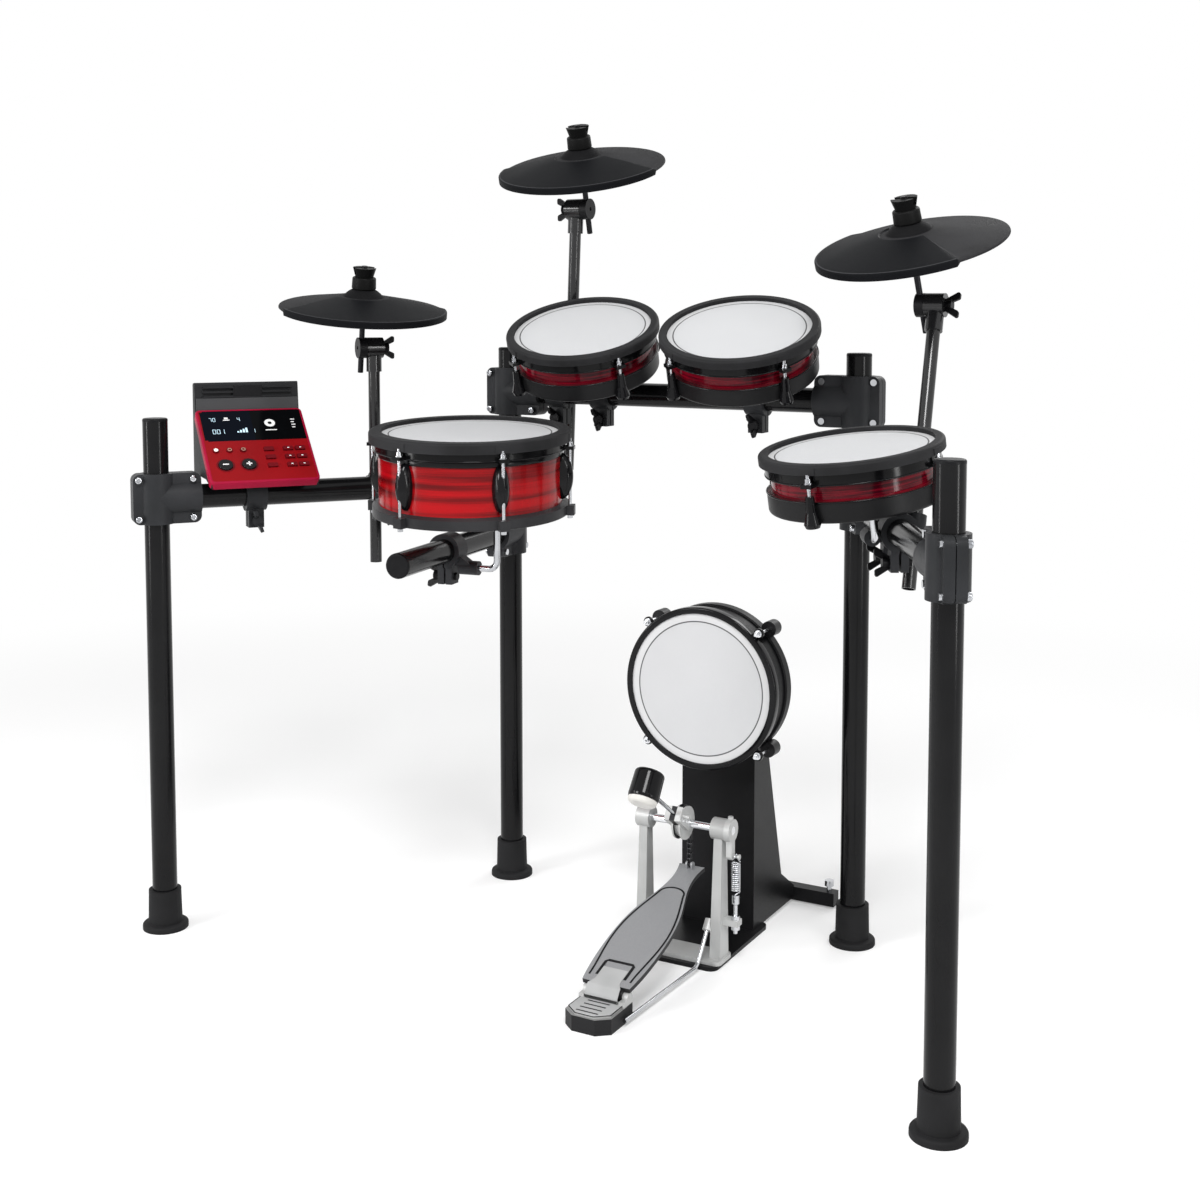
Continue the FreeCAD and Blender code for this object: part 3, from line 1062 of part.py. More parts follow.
def make_kick():
    place = frame(spot(d.kick_x, d.kick_face_y, d.kick_height), Vector(0, -1, 0))
    core = pad_core("kick", d.kick_rim, d.kick_rim_inset, KICK_LUGS, KICK_FIRST, rubber=False)
    back, inner = d.kick_rim / 2 - d.kick_back_inset, core.shell - d.shell_wall
    floor, ring_top = -d.kick_depth + d.shell_wall, -d.kick_depth + d.kick_back_height
    cup = turned("kick_cup",
                 [(0, -d.kick_depth), (back, -d.kick_depth), (back, ring_top), (core.shell, ring_top),
                  (core.shell, core.top), (inner, core.top), (inner, floor), (0, floor)],
                 [(2, d.kick_back_inset), (1, d.kick_back_inset * 0.7)])
    node("kick_shell", [cup] + sensor("kick", core, floor), place)
    node("kick_head", [core.head], place)
    node("kick_hoop", core.rim, place)
    inside = d.claw_height * 0.5
    rod = tension_rod("kick_rod", core, core.ear_top + d.kick_depth - inside)
    block = cylinder("kick_claw_body", d.claw_diameter / 2, d.claw_height, move(core.rod, 0, -d.kick_depth))
    tools = [cylinder("kick_claw_back", back + d.fit_gap, 4 * d.kick_depth, move(0, 0, -2 * d.kick_depth)),
             cylinder("kick_claw_hole", d.rod_diameter / 2 + d.fit_gap, d.kick_depth,
                      move(core.rod, 0, -d.kick_depth + inside - d.fit_gap))]
    claw = cut("kick_claw", block, tools)
    copies("kick_claws",
           at(place, ring_of(claw, KICK_LUGS, KICK_FIRST) + ring_of(rod, KICK_LUGS, KICK_FIRST)))


def make_tower():
    half = d.tower_width / 2
    plate = box("tower_plate", d.tower_width, d.sheet_metal, d.tower_top - d.base_thick,
                move(0, PLATE_Y + d.sheet_metal / 2, d.base_thick))
    outline = [(PLATE_Y, d.base_thick), (d.cross_bar_y, d.base_thick), (d.cross_bar_y, d.cross_bar),
               (PLATE_Y + d.gusset_depth, d.gusset_foot), (PLATE_Y + d.gusset_top_depth, d.gusset_top),
               (PLATE_Y, d.gusset_top)]
    sides = [placed(padded(f"tower_gusset_{i}", outline, d.sheet_metal, role="YZ_Plane"), move(x))
             for i, x in enumerate((-half, half - d.sheet_metal))]
    wide = d.base_width / 2
    base = padded("tower_base", [(-wide, d.base_front_y), (wide, d.base_front_y), (wide, d.base_back_y),
                                 (-wide, d.base_back_y)], d.base_thick, [((0, 1, 2, 3), d.base_corner)])
    cross = box("tower_cross_bar", d.cross_bar_span, d.cross_bar, d.cross_bar,
                move(0, d.cross_bar_y, d.cross_bar_lift))
    spur_x = d.cross_bar_span / 2 - d.spur_inset
    holes = [cylinder(f"tower_spur_hole_{i}", d.spur_diameter / 2 + d.fit_gap, 3 * d.cross_bar,
                      move(x, d.cross_bar_y, -d.cross_bar)) for i, x in enumerate((-spur_x, spur_x))]
    tower = cut("tower_drilled", fused("tower_welded", [plate, base, cross] + sides), holes)
    node("tower_frame", [tower], by_pedal())
    shank, knob = d.spur_diameter / 2, d.spur_knob / 2
    top = d.cross_bar_lift + d.cross_bar + d.spur_stand
    spur = turned("tower_spur", [(0, 0), (shank * 0.4, 0), (shank, d.spur_point), (shank, top), (knob, top),
                                 (knob, top + d.spur_knob_height), (0, top + d.spur_knob_height)])
    copies("tower_spurs", [(spur, by_pedal(x, d.cross_bar_y)) for x in (-spur_x, spur_x)])


# Pedal: frame, heel, footboard, axle with cam and rocker, beater, chain, spring and wires

HUB_FACE = d.upright_gap / 2 + d.hub_length / 2
ROCKER_INNER = HUB_FACE + 2 * d.running_gap
ROCKER_FACE = ROCKER_INNER + d.rocker_thick
SPRING_X = HUB_FACE + d.rocker_stand_off
STRAIGHT_LINKS = 9
HEEL_SLOTS = 4
WRAP_LINKS = 5
TOE_Y = d.axle_y + d.cam_radius
TOE_HEIGHT = d.axle_height - STRAIGHT_LINKS * d.chain_pitch
HOOK_HEIGHT = d.axle_height - d.rocker_reach
COIL_TURNS = 14
COIL_LENGTH = COIL_TURNS * d.spring_pitch
HOOK_SLACK = d.spring_hook - d.spring_wire / 2 - d.hook_pin / 2 - d.running_gap
COIL_TOP = HOOK_HEIGHT - HOOK_SLACK - d.spring_neck
LOW_PIN = COIL_TOP - COIL_LENGTH - d.spring_neck - HOOK_SLACK
BRACKET_HEIGHT = LOW_PIN - d.hook_rod_reach
WIRE_X = d.upright_gap / 2 - d.leg_foot / 2 - d.wire_boss / 2 + d.wire / 4


def wire_points(side):
    """The run of a floor wire: out of the heel, along the floor, and up into a boss on the leg."""
    boss = Vector(side * float(WIRE_X), float(d.axle_y - d.wire_boss * 0.6), float(BRACKET_HEIGHT))
    bend = Vector(side * float(WIRE_X), float(d.axle_y - d.foot_plate_front - d.foot_plate_back),
                  float(d.heel_wire_height))
    heel = Vector(side * float(d.heel_wire_x), float(d.heel_y + d.heel_length * 0.75),
                  float(d.heel_wire_height))
    return [heel, bend, boss]


def make_pedal_frame():
    wide = d.upright_gap / 2 + d.foot_plate_margin
    front, back = -d.foot_plate_front, d.foot_plate_back
    plate = padded("pedal_foot_plate", [(-wide, front), (wide, front), (wide, back), (-wide, back)],
                   d.base_thick,
                   [((0, 1, 2, 3), d.base_corner * 0.7)])
    pieces = [placed(plate, move(0, d.axle_y, d.base_thick))]
    axle = move(-2 * d.upright_gap, d.axle_y, d.axle_height).multiply(ALONG)
    tools = [cylinder("pedal_axle_bore", d.axle_diameter / 2 + d.pin_gap, 4 * d.upright_gap, axle)]
    for side in (-1, 1):
        x = side * d.upright_gap / 2
        leg = doc.addObject("Part::Wedge", f"pedal_leg_{side + 1}")
        bind(leg, Xmin=-d.leg_foot / 2, Xmax=d.leg_foot / 2, X2min=-d.leg_top / 2, X2max=d.leg_top / 2,
             Zmin=-d.leg_foot * 0.7, Zmax=d.leg_foot * 1.1, Z2min=-d.leg_top * 0.6, Z2max=d.leg_top * 0.7,
             Ymin=0.0, Ymax=d.axle_height - 2 * d.base_thick)
        leg.Placement = move(x, d.axle_y, 2 * d.base_thick, FRONT_WAY)
        hub = cylinder(f"pedal_hub_{side + 1}", d.hub_diameter / 2, d.hub_length,
                       move(x - d.hub_length / 2, d.axle_y, d.axle_height).multiply(ALONG))
        heel, bend, end = wire_points(side)
        boss_place = frame(end, end - bend)
        boss = cylinder(f"pedal_wire_boss_{side + 1}", d.wire_boss / 2, d.wire_boss * 1.2,
                        boss_place.multiply(move(0, 0, -d.wire_boss * 0.9)))
        tools.append(cylinder(f"pedal_wire_bore_{side + 1}", d.wire / 2 + d.fit_gap, 2 * d.wire_boss,
                              boss_place.multiply(move(0, 0, d.fit_gap - 2 * d.wire_boss))))
        pieces += [leg, hub, boss]
    reach = SPRING_X + d.adjuster_nut / 2 - d.upright_gap / 2
    pieces.append(box("pedal_spring_bracket", reach, d.adjuster_nut * 1.3, d.bracket_thick,
                      move(d.upright_gap / 2 + reach / 2, d.axle_y, BRACKET_HEIGHT)))
    tools.append(cylinder("pedal_bracket_hole", d.adjuster_rod / 2 + d.fit_gap, 3 * d.bracket_thick,
                          move(SPRING_X, d.axle_y, BRACKET_HEIGHT - d.bracket_thick)))
    node("pedal_frame", [cut("pedal_casting", fused("pedal_casting_body", pieces), tools)], by_pedal())
    AXES["beater_swing"] = (by_pedal(0, d.axle_y, d.axle_height).Base, Vector(-1, 0, 0))


def heel_outline(inset):
    """The outline of the heel piece, with its back corners cut off, drawn in by inset."""
    wide, back, front = d.heel_width / 2 - inset, d.heel_y + inset, d.heel_y + d.heel_length - inset
    return [(-wide, back + d.heel_corner * 0.8), (-wide + d.heel_corner, back),
            (wide - d.heel_corner, back),
            (wide, back + d.heel_corner * 0.8), (wide, front), (-wide, front)]


def make_heel():
    block = padded("pedal_heel_block", heel_outline(d.fit_gap), d.heel_block)
    inner = d.board_knuckle / 2 + d.running_gap
    pieces, tools = [block], []
    for side in (-1, 1):
        x = side * (inner + d.board_ear / 2)
        block_end = d.heel_y + d.heel_length - d.board_ear
        tail = d.board_hinge_y + d.board_ear_round - block_end
        pieces.append(box(f"pedal_heel_ear_{side + 1}", d.board_ear, tail, d.board_hinge_height,
                          move(x, block_end + tail / 2)))
        pieces.append(cylinder(f"pedal_heel_eye_{side + 1}", d.board_ear_round, d.board_ear,
                               move(x - d.board_ear / 2, d.board_hinge_y,
                                    d.board_hinge_height).multiply(ALONG)))
        heel, bend, end = wire_points(side)
        tools.append(cylinder(f"pedal_heel_bore_{side + 1}", d.wire / 2 + d.fit_gap, 2 * d.heel_length,
                              frame(heel, bend - heel).multiply(move(0, 0, -d.fit_gap))))
    pin_place = move(-inner - d.board_ear, d.board_hinge_y, d.board_hinge_height).multiply(ALONG)
    span = 2 * (inner + d.board_ear)
    tools.append(cylinder("pedal_heel_eye_bore", d.board_pin / 2 + d.pin_gap, span, pin_place))
    pin = cylinder("pedal_hinge_pin", d.board_pin / 2, span, pin_place)
    top = padded("pedal_heel_top", heel_outline(d.heel_slot), d.heel_plate)
    slots = [box(f"pedal_heel_slot_{i}", d.heel_slot, d.heel_slot_length, 3 * d.heel_plate,
                 move((i - (HEEL_SLOTS - 1) / 2) * d.heel_slot_pitch, d.heel_y + d.heel_length * 0.55,
                      -d.heel_plate))
             for i in range(HEEL_SLOTS)]
    plate = placed(cut("pedal_heel_slotted", top, slots), move(0, 0, d.heel_block))
    node("pedal_heel_plate", [cut("pedal_heel_body", fused("pedal_heel_rough", pieces), tools), plate, pin],
         by_pedal())



def make_footboard():
    """A plate with a full belly and a narrow neck, hinged at the heel, with two chain ears at its toe."""
    rise, run = float(TOE_HEIGHT - d.board_hinge_height), float(TOE_Y - d.board_hinge_y)
    reach = math.hypot(rise, run)
    lift = float(d.board_lift + d.board_thick + d.chain_plate_height)
    slope = math.degrees(math.atan2(rise, run) - math.asin(lift / reach))
    along = math.sqrt(reach * reach - lift * lift)
    place = by_pedal(0, d.board_hinge_y, d.board_hinge_height).multiply(move(turn=turn((1, 0, 0), slope)))
    AXES["footboard_press"] = (place.Base, Vector(-1, 0, 0))
    end = along + float(d.chain_plate_height)
    stations = [(d.board_heel_width, 0.0), (d.board_width, 0.3), (d.board_width * 0.84, 0.58),
                (d.board_neck, 0.87),
                (d.board_toe, 1.0)]
    curve = Part.BSplineCurve()
    curve.interpolate([Vector(float(wide) / 2, share * end, 0) for wide, share in stations])
    right_side = curve.toShape()
    left_side = right_side.mirror(Vector(), Vector(1, 0, 0))
    ends = [Part.LineSegment(edge[0], edge[1]).toShape() for edge in
            ((curve.StartPoint, Vector(-curve.StartPoint.x, 0, 0)),
             (curve.EndPoint, Vector(-curve.EndPoint.x, end, 0)))]
    outline = Part.Wire(Part.sortEdges([right_side, left_side] + ends)[0])
    board = solid("pedal_board_plate", Part.Face(outline).extrude(Vector(0, 0, float(d.board_thick))),
                  move(0, 0, d.board_lift))
    knuckle = cylinder("pedal_board_knuckle", d.board_ear_round, d.board_knuckle,
                       move(-d.board_knuckle / 2).multiply(ALONG))
    web = box("pedal_board_web", d.board_knuckle, 2 * d.board_ear_round, d.board_lift + d.board_thick / 2,
              move(0, 0, 0))
    ear_inner = d.chain_inner_width / 2 + d.running_gap
    pieces = [board, knuckle, web]
    eye = d.chain_pitch - d.chain_plate_height / 2 - 2 * d.chain_gap
    root = d.chain_plate_height + d.board_thick / 2
    for side in (-1, 1):
        x = side * (ear_inner + d.cam_flange / 2)
        pieces.append(cylinder(f"pedal_toe_eye_{side + 1}", eye, d.cam_flange,
                               move(x - d.cam_flange / 2, along, lift).multiply(ALONG)))
        pieces.append(box(f"pedal_toe_ear_{side + 1}", d.cam_flange, 2 * eye, root,
                          move(x, along, lift - root)))
    pieces.append(cylinder("pedal_toe_pin", d.chain_pin / 2, 2 * (ear_inner + d.cam_flange),
                           move(-ear_inner - d.cam_flange, along, lift).multiply(ALONG)))
    clear = box("pedal_toe_clear", d.chain_inner_width + 2 * d.running_gap, 3 * d.chain_plate_height,
                2 * d.chain_plate_height,
                move(0, along, lift - d.chain_plate_height))
    bore = cylinder("pedal_board_bore", d.board_pin / 2 + d.pin_gap, 2 * d.board_knuckle,
                    move(-d.board_knuckle).multiply(ALONG))
    sole = cut("pedal_board_sole", fused("pedal_board_body", pieces[:3]), [bore, clear])
    node("pedal_footboard", [fused("pedal_board", [sole] + pieces[3:])], place)


def chain_link(name, inner):
    """A chain link along -Z from its first joint: two plates, with rollers inside or pins right through."""
    half = d.chain_inner_width / 2 if inner else d.chain_inner_width / 2 + d.chain_gap + d.chain_plate
    joints = (0, -d.chain_pitch)
    pieces = []
    for side in (-1, 1):
        x = side * (half - d.chain_plate / 2)
        pieces.append(box(f"{name}_plate_{side + 1}", d.chain_plate, d.chain_plate_height, d.chain_pitch,
                          move(x, 0, -d.chain_pitch)))
        for index, z in enumerate(joints):
            pieces.append(cylinder(f"{name}_round_{side + 1}_{index}", d.chain_plate_height / 2,
                                   d.chain_plate,
                                   move(x - d.chain_plate / 2, 0, z).multiply(ALONG)))
    radius = d.chain_roller / 2 if inner else d.chain_pin / 2
    for index, z in enumerate(joints):
        pieces.append(cylinder(f"{name}_pin_{index}", radius, 2 * half, move(-half, 0, z).multiply(ALONG)))
    body = fused(f"{name}_body", pieces)
    if not inner:
        return body
    holes = [cylinder(f"{name}_hole_{index}", d.chain_pin / 2 + d.fit_gap, 4 * half,
                      move(-2 * half, 0, z).multiply(ALONG))
             for index, z in enumerate(joints)]
    return cut(name, body, holes)


def make_axle(links):
    """The shaft with its chain cam, beater block and rocker; the links that wrap the cam ride on it."""
    start = -HUB_FACE - d.cam_flange
    shaft = cylinder("pedal_shaft", d.axle_diameter / 2, ROCKER_FACE - start, move(start).multiply(ALONG))
    drum_half = d.chain_inner_width / 2 + d.chain_gap + d.chain_plate + d.running_gap
    drum = cylinder("pedal_cam", d.cam_radius - d.chain_plate_height / 2 - 2 * d.running_gap, 2 * drum_half,
                    move(-drum_half).multiply(ALONG))
    flanges = [cylinder(f"pedal_cam_flange_{i}", d.cam_radius + d.chain_gap * 5, d.cam_flange,
                        move(x).multiply(ALONG))
               for i, x in enumerate((-drum_half - d.cam_flange, drum_half))]
    way = turn((1, 0, 0), 90.0 - float(d.beater_rise))
    block = box("pedal_beater_block", d.cam_block, d.beater_clamp, d.cam_radius + d.beater_socket,
                move(0, 0, 0, way))
    rod_start = d.cam_radius * 0.8
    socket = cylinder("pedal_beater_socket", d.beater_rod / 2 + d.fit_gap, d.beater_length,
                      move(turn=way).multiply(move(0, 0, rod_start - d.fit_gap)))
    screw = cylinder("pedal_beater_screw", d.beater_rod / 2, d.cam_block * 0.8,
                     move(turn=way).multiply(move(d.beater_rod / 2 + d.running_gap, 0,
                                                  d.cam_radius + d.beater_socket / 2)).multiply(ALONG))
    disc = cylinder("pedal_rocker_disc", d.rocker_disc / 2, d.rocker_thick,
                    move(ROCKER_INNER).multiply(ALONG))
    arm = box("pedal_rocker_arm", d.rocker_thick, 3 * d.hook_pin, d.rocker_reach,
              move(ROCKER_INNER + d.rocker_thick / 2, 0, -d.rocker_reach))
    eye = cylinder("pedal_rocker_eye", 1.5 * d.hook_pin, d.rocker_thick,
                   move(ROCKER_INNER, 0, -d.rocker_reach).multiply(ALONG))
    pin_length = 2 * (SPRING_X - ROCKER_FACE)
    pin = cylinder("pedal_hook_pin", d.hook_pin / 2, pin_length,
                   move(ROCKER_FACE, 0, -d.rocker_reach).multiply(ALONG))
    stop = cylinder("pedal_hook_stop", d.hook_pin, d.hook_pin / 2,
                    move(ROCKER_FACE + pin_length, 0, -d.rocker_reach).multiply(ALONG))
    set_screw = cylinder("pedal_rocker_screw", d.hook_pin, d.hook_pin * 1.5,
                         move(ROCKER_INNER + d.rocker_thick / 2, 0, d.rocker_disc / 2 - d.hook_pin / 2))
    body = fused("pedal_axle_body",
                 [shaft, drum, block, screw, disc, arm, eye, pin, stop, set_screw] + flanges)
    step = 2 * math.degrees(math.asin(float(d.chain_pitch / (2 * d.cam_radius))))
    wrap = []
    for index in range(WRAP_LINKS):
        spin = move(turn=turn((1, 0, 0), (index + 0.5) * step))
        middle = math.sqrt(float(d.cam_radius) ** 2 - float(d.chain_pitch / 2) ** 2)
        wrap.append((links[index % 2 == 1], spin.multiply(move(0, middle, d.chain_pitch / 2))))
    place = by_pedal(0, d.axle_y, d.axle_height)
    axle = cut("pedal_axle_drilled", body, [socket])
    copies("pedal_axle", [(axle, place)] + at(place, wrap))

    rod = cylinder("pedal_beater_rod", d.beater_rod / 2, d.beater_length - rod_start, move(0, 0, rod_start))
    half, wide = d.beater_head_length / 2, d.beater_head / 2
    seam = -half + d.beater_felt_length
    mass = turned("pedal_beater_mass", [(0, seam), (wide, seam), (wide, half), (0, half)],
                  [(2, wide * 0.2)])
    felt = turned("pedal_beater_felt", [(0, -half), (wide * 0.96, -half), (wide * 0.96, seam), (0, seam)],
                  [(1, wide * 0.35)])
    head_place = move(0, 0, d.beater_length, turn((1, 0, 0), -90))
    hole = cylinder("pedal_beater_hole", d.beater_rod / 2 + d.fit_gap, d.beater_length + d.fit_gap)
    body = cut("pedal_beater_drilled", placed(mass, head_place), [hole])
    node("pedal_beater", [rod, body, placed(felt, head_place)], place.multiply(move(turn=way)))


def make_chain(links):
    top = by_pedal(0, TOE_Y, d.axle_height)
    copies("pedal_chain", [(links[index % 2 == 0], top.multiply(move(0, 0, -index * d.chain_pitch)))
                           for index in range(STRAIGHT_LINKS)])


def arc_from(start, tangent, end):
    """The circle arc that leaves start along tangent and ends at end."""
    chord = end - start
    lean = tangent.getAngle(chord)
    if lean < 1e-6:
        return Part.LineSegment(start, end).toShape()
    middle = (start + end) * 0.5
    corner = start + tangent * (chord.Length / 2 / math.cos(lean))
    bulge = middle + unit(corner - middle) * (chord.Length / 2 * math.tan(lean / 2))
    return Part.Arc(start, bulge, end).toShape()


def biarc(first, last):
    """Two tangent arcs between two (point, heading) pairs."""
    (p0, t0), (p1, t1) = first, last
    across = p1 - p0
    a, b, c = 2 * (1 - t0.dot(t1)), 2 * across.dot(t0 + t1), across.dot(across)
    reach = (math.sqrt(b * b + 4 * a * c) - b) / (2 * a)
    near, far = p0 + t0 * reach, p1 - t1 * reach
    joint = (near + far) * 0.5
    return [arc_from(p0, t0, joint), arc_from(joint, unit(far - near), p1)]


def least_self_gap(path, wire):
    """The least gap between parts of a wire that lie apart along it, measured on points."""
    points = path.discretize(Distance=float(wire) * 0.4)
    apart = 10
    least = min((points[i] - points[j]).Length for i in range(len(points))
                for j in range(i + apart, len(points)))
    return least - float(wire)


def make_spring():
    """One unbroken wire: a hook, the coil and a second hook that is the first turned over."""
    radius, pitch, hook = float(d.spring_diameter
                                - d.spring_wire) / 2, float(d.spring_pitch), float(d.spring_hook)
    length, centre = float(COIL_LENGTH), float(COIL_LENGTH + d.spring_neck)

    def on_coil(quarter):
        angle = quarter * math.pi / 2
        across = Vector(math.cos(angle), math.sin(angle), 0) * radius
        heading = unit(Vector(-across.y, across.x, pitch / (2 * math.pi)))
        return across + UP * (pitch * quarter / 4), heading

    upper = [(Vector(0, hook, centre), UP), (Vector(0, 0, centre + hook), Vector(0, -1, 0)),
             (Vector(0, -hook, centre), -UP)]
    lower = [(Vector(p.x, -p.y, length - p.z), Vector(-t.x, t.y, t.z)) for p, t in reversed(upper)]
    run = lower + [on_coil(quarter) for quarter in range(4 * COIL_TURNS + 1)] + upper
    tail = float(d.spring_wire)
    edges = [Part.LineSegment(run[0][0] - run[0][1] * tail, run[0][0]).toShape()]
    for first, last in zip(run, run[1:]):
        edges += biarc(first, last)
    edges.append(Part.LineSegment(run[-1][0], run[-1][0] + run[-1][1] * tail).toShape())
    path = Part.Wire(edges)
    print("spring self gap", round(least_self_gap(path, d.spring_wire), 2))
    start = run[0][0] - run[0][1] * tail
    section = Part.Wire([Part.makeCircle(float(d.spring_wire / 2), start, run[0][1])])
    spring = solid("pedal_spring_wire", path.makePipeShell([section], True, False))
    node("pedal_spring", [spring], by_pedal(SPRING_X, d.axle_y, COIL_TOP - COIL_LENGTH))


def make_wires():
    """Two floor wires, and the hook rod under the spring with its clevis and two round nuts."""
    shank, fork = d.adjuster_rod / 2, d.clevis / 2
    fork_low, fork_top = LOW_PIN - 2 * d.hook_pin - d.spring_hook, LOW_PIN + d.hook_pin * 0.75
    foot = BRACKET_HEIGHT - 2 * d.adjuster_nut_height
    rod = turned("pedal_hook_rod",
                 [(0, foot), (shank, foot), (shank, fork_low), (fork, fork_low + d.spring_wire),
                  (fork, fork_top), (0, fork_top)])
    slot_low = LOW_PIN - d.spring_hook - 2 * d.spring_wire
    slot = box("pedal_clevis_slot", 1.7 * d.spring_wire, 3 * d.clevis, d.clevis * 2, move(0, 0, slot_low))
    pin = cylinder("pedal_clevis_pin", d.hook_pin / 2, d.clevis * 0.9,
                   move(-d.clevis * 0.45, 0, LOW_PIN).multiply(ALONG))
    items = [fused("pedal_hook_clevis", [cut("pedal_forked_rod", rod, [slot]), pin])]
    for index, z in enumerate((BRACKET_HEIGHT - d.adjuster_nut_height, BRACKET_HEIGHT + d.bracket_thick)):
        body = cylinder(f"pedal_nut_{index}", d.adjuster_nut / 2, d.adjuster_nut_height, move(0, 0, z))
        bore = cylinder(f"pedal_nut_bore_{index}", shank + d.fit_gap, 3 * d.adjuster_nut_height,
                        move(0, 0, z - d.adjuster_nut_height))
        items.append(cut(f"pedal_nut_cut_{index}", body, [bore]))
    pairs = [(item, by_pedal(SPRING_X, d.axle_y)) for item in items]
    for side in (-1, 1):
        wire = bent_rod(f"pedal_wire_{side + 1}", wire_points(side), d.wire / 2, d.wire_bend)
        pairs.append((wire, by_pedal()))
    copies("pedal_wires", pairs)


make_rack()
make_post_clamps()
make_snare()
make_toms()
tilter_spots = make_cymbals()
make_module()
make_kick()
make_tower()
make_pedal_frame()
make_heel()
make_footboard()
chain_links = (chain_link("outer_link", False), chain_link("inner_link", True))
make_axle(chain_links)
make_chain(chain_links)
make_spring()
make_wires()
copies("bar_clamps", bar_clamps)
clamp_bolt = wing_bolt("clamp_wing", d.ear_depth, True)
tilter_bolt = wing_bolt("tilter_wing", d.boom_diameter + 3 * d.ferrule_wall + d.tilter_thick / 2, False)
copies("clamp_wing_bolts",
       [(clamp_bolt, place) for place in wing_spots] + [(tilter_bolt, place) for place in tilter_spots])

# Every shape is checked before any is written

doc.recompute()
bad = [item.Name for item in doc.Objects if "Invalid" in item.State or "Error" in item.State]
assert not bad, f"failed objects: {bad}"
for item in NODES:
    assert not item.Shape.isNull() and item.Shape.isValid(), f"bad shape: {item.Label}"
    assert item.Shape.Solids, f"no solid: {item.Label}"
os.makedirs("parts", exist_ok=True)
whole = FreeCAD.BoundBox()
for item in NODES:
    item.Shape.exportStep(f"parts/{item.Label}.step")
    whole.add(item.Shape.BoundBox)
print(len(NODES), "sub-parts,", sum(len(item.Shape.Solids) for item in NODES), "solids", whole)
for name, (point, direction) in AXES.items():
    print("axis", name, *(round(value, 4) for value in (*point, *direction)))
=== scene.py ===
# %% [markdown]
# # Dressing an electronic drum kit
# This lesson gives them their finishes, and replaces the few pieces that a solid can't show well: the
# woven mesh heads, the rubber cymbals, the wound spring and the felt beater. Everything is in metres,
# with +Z up.

# %% Load the frame
import math

import bmesh
import bpy
import numpy as np
from mathutils import Matrix


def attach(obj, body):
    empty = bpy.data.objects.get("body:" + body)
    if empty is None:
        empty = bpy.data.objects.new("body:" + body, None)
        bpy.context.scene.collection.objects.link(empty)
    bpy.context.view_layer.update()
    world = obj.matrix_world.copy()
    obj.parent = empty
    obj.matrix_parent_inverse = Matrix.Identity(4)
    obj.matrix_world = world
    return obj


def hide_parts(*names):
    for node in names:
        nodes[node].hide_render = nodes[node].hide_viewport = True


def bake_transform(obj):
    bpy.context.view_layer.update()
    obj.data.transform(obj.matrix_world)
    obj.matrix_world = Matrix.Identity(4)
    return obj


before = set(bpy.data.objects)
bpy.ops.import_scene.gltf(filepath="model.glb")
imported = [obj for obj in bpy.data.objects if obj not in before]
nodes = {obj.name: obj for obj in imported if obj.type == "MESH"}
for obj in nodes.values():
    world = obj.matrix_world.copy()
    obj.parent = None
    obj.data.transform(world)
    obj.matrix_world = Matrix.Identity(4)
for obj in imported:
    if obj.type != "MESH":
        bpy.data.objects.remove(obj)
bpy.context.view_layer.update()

# %% [markdown]
# ## Places
# Each pad leans its own way on the rack, so its wrap, its head and its finish are all worked out in the
# pad's own frame: an origin, and three directions of which Z is square to the head. The same helper serves
# for the cymbals, the sound module and the pedal.

# %% Frames of the pads, cymbals, panel and pedal


def unit(vectors):
    """Each vector divided by its length."""
    vectors = np.asarray(vectors, float)
    return vectors / np.linalg.norm(vectors, axis=-1, keepdims=True)


class Place:
    """A frame with an origin in metres and unit axes: Z as given, X as near the hint as it can lie."""

    def __init__(self, origin, z_axis, x_hint=(1, 0, 0)):
        self.origin = np.asarray(origin, float)
        z = unit(z_axis)
        x = unit(np.asarray(x_hint, float) - z * np.dot(x_hint, z))
        self.axes = np.stack([x, np.cross(z, x), z])

    def world(self, points):
        """Local points, as origin plus each coordinate times its axis."""
        return self.origin + np.asarray(points, float) @ self.axes

    def turn(self):
        """The turn of the frame as a matrix."""
        return Matrix(self.axes.T.tolist())

    def matrix(self):
        """The matrix of an object that stands in the frame."""
        return Matrix.Translation(self.origin.tolist()) @ self.turn().to_4x4()


PADS = {
    "snare": Place((-0.157, -0.10388, 0.794), (0.032, -0.058, 1.0)),
    "tom_1": Place((-0.078, 0.09212, 0.943), (0.09, -0.419, 1.0)),
    "tom_2": Place((0.191, 0.08812, 0.9445), (0.094, -0.4275, 1.0)),
    "floor_tom": Place((0.448, -0.13188, 0.799), (-0.074, -0.146, 1.0)),
    "kick": Place((0.130, 0.08512, 0.395), (0.0, -1.0, 0.0)),
}
TOMS = ("tom_1", "tom_2", "floor_tom")
RIMS = {"snare": 0.150, "tom_1": 0.120, "tom_2": 0.120, "floor_tom": 0.120, "kick": 0.125}
SWAYS = {
    "hihat": ((-0.44471, 0.01535, 0.96505), (0.146, -0.105, 1.0)),
    "crash": ((-0.13588, 0.19465, 1.19241), (0.055, -0.341, 1.0)),
    "ride": ((0.45161, 0.09248, 1.05567), (-0.074, -0.346, 1.0)),
}
SEATS = {name: Place(origin, lean, np.cross((0, 0, 1), (lean[0], lean[1], 0)))
         for name, (origin, lean) in SWAYS.items()}
PANEL = Place((-0.51938, -0.16029, 0.756), (0.5041, -0.3767, 0.7771), (0.5986, 0.801, 0.0))
AXLE = Place((0.130, 0.03212, 0.204), (1.0, 0.0, 0.0), (0.0, 1.0, 0.0))
SHAFT_RISE = math.radians(35)
SHAFT = Place(AXLE.origin, (0.0, -math.cos(SHAFT_RISE), math.sin(SHAFT_RISE)))
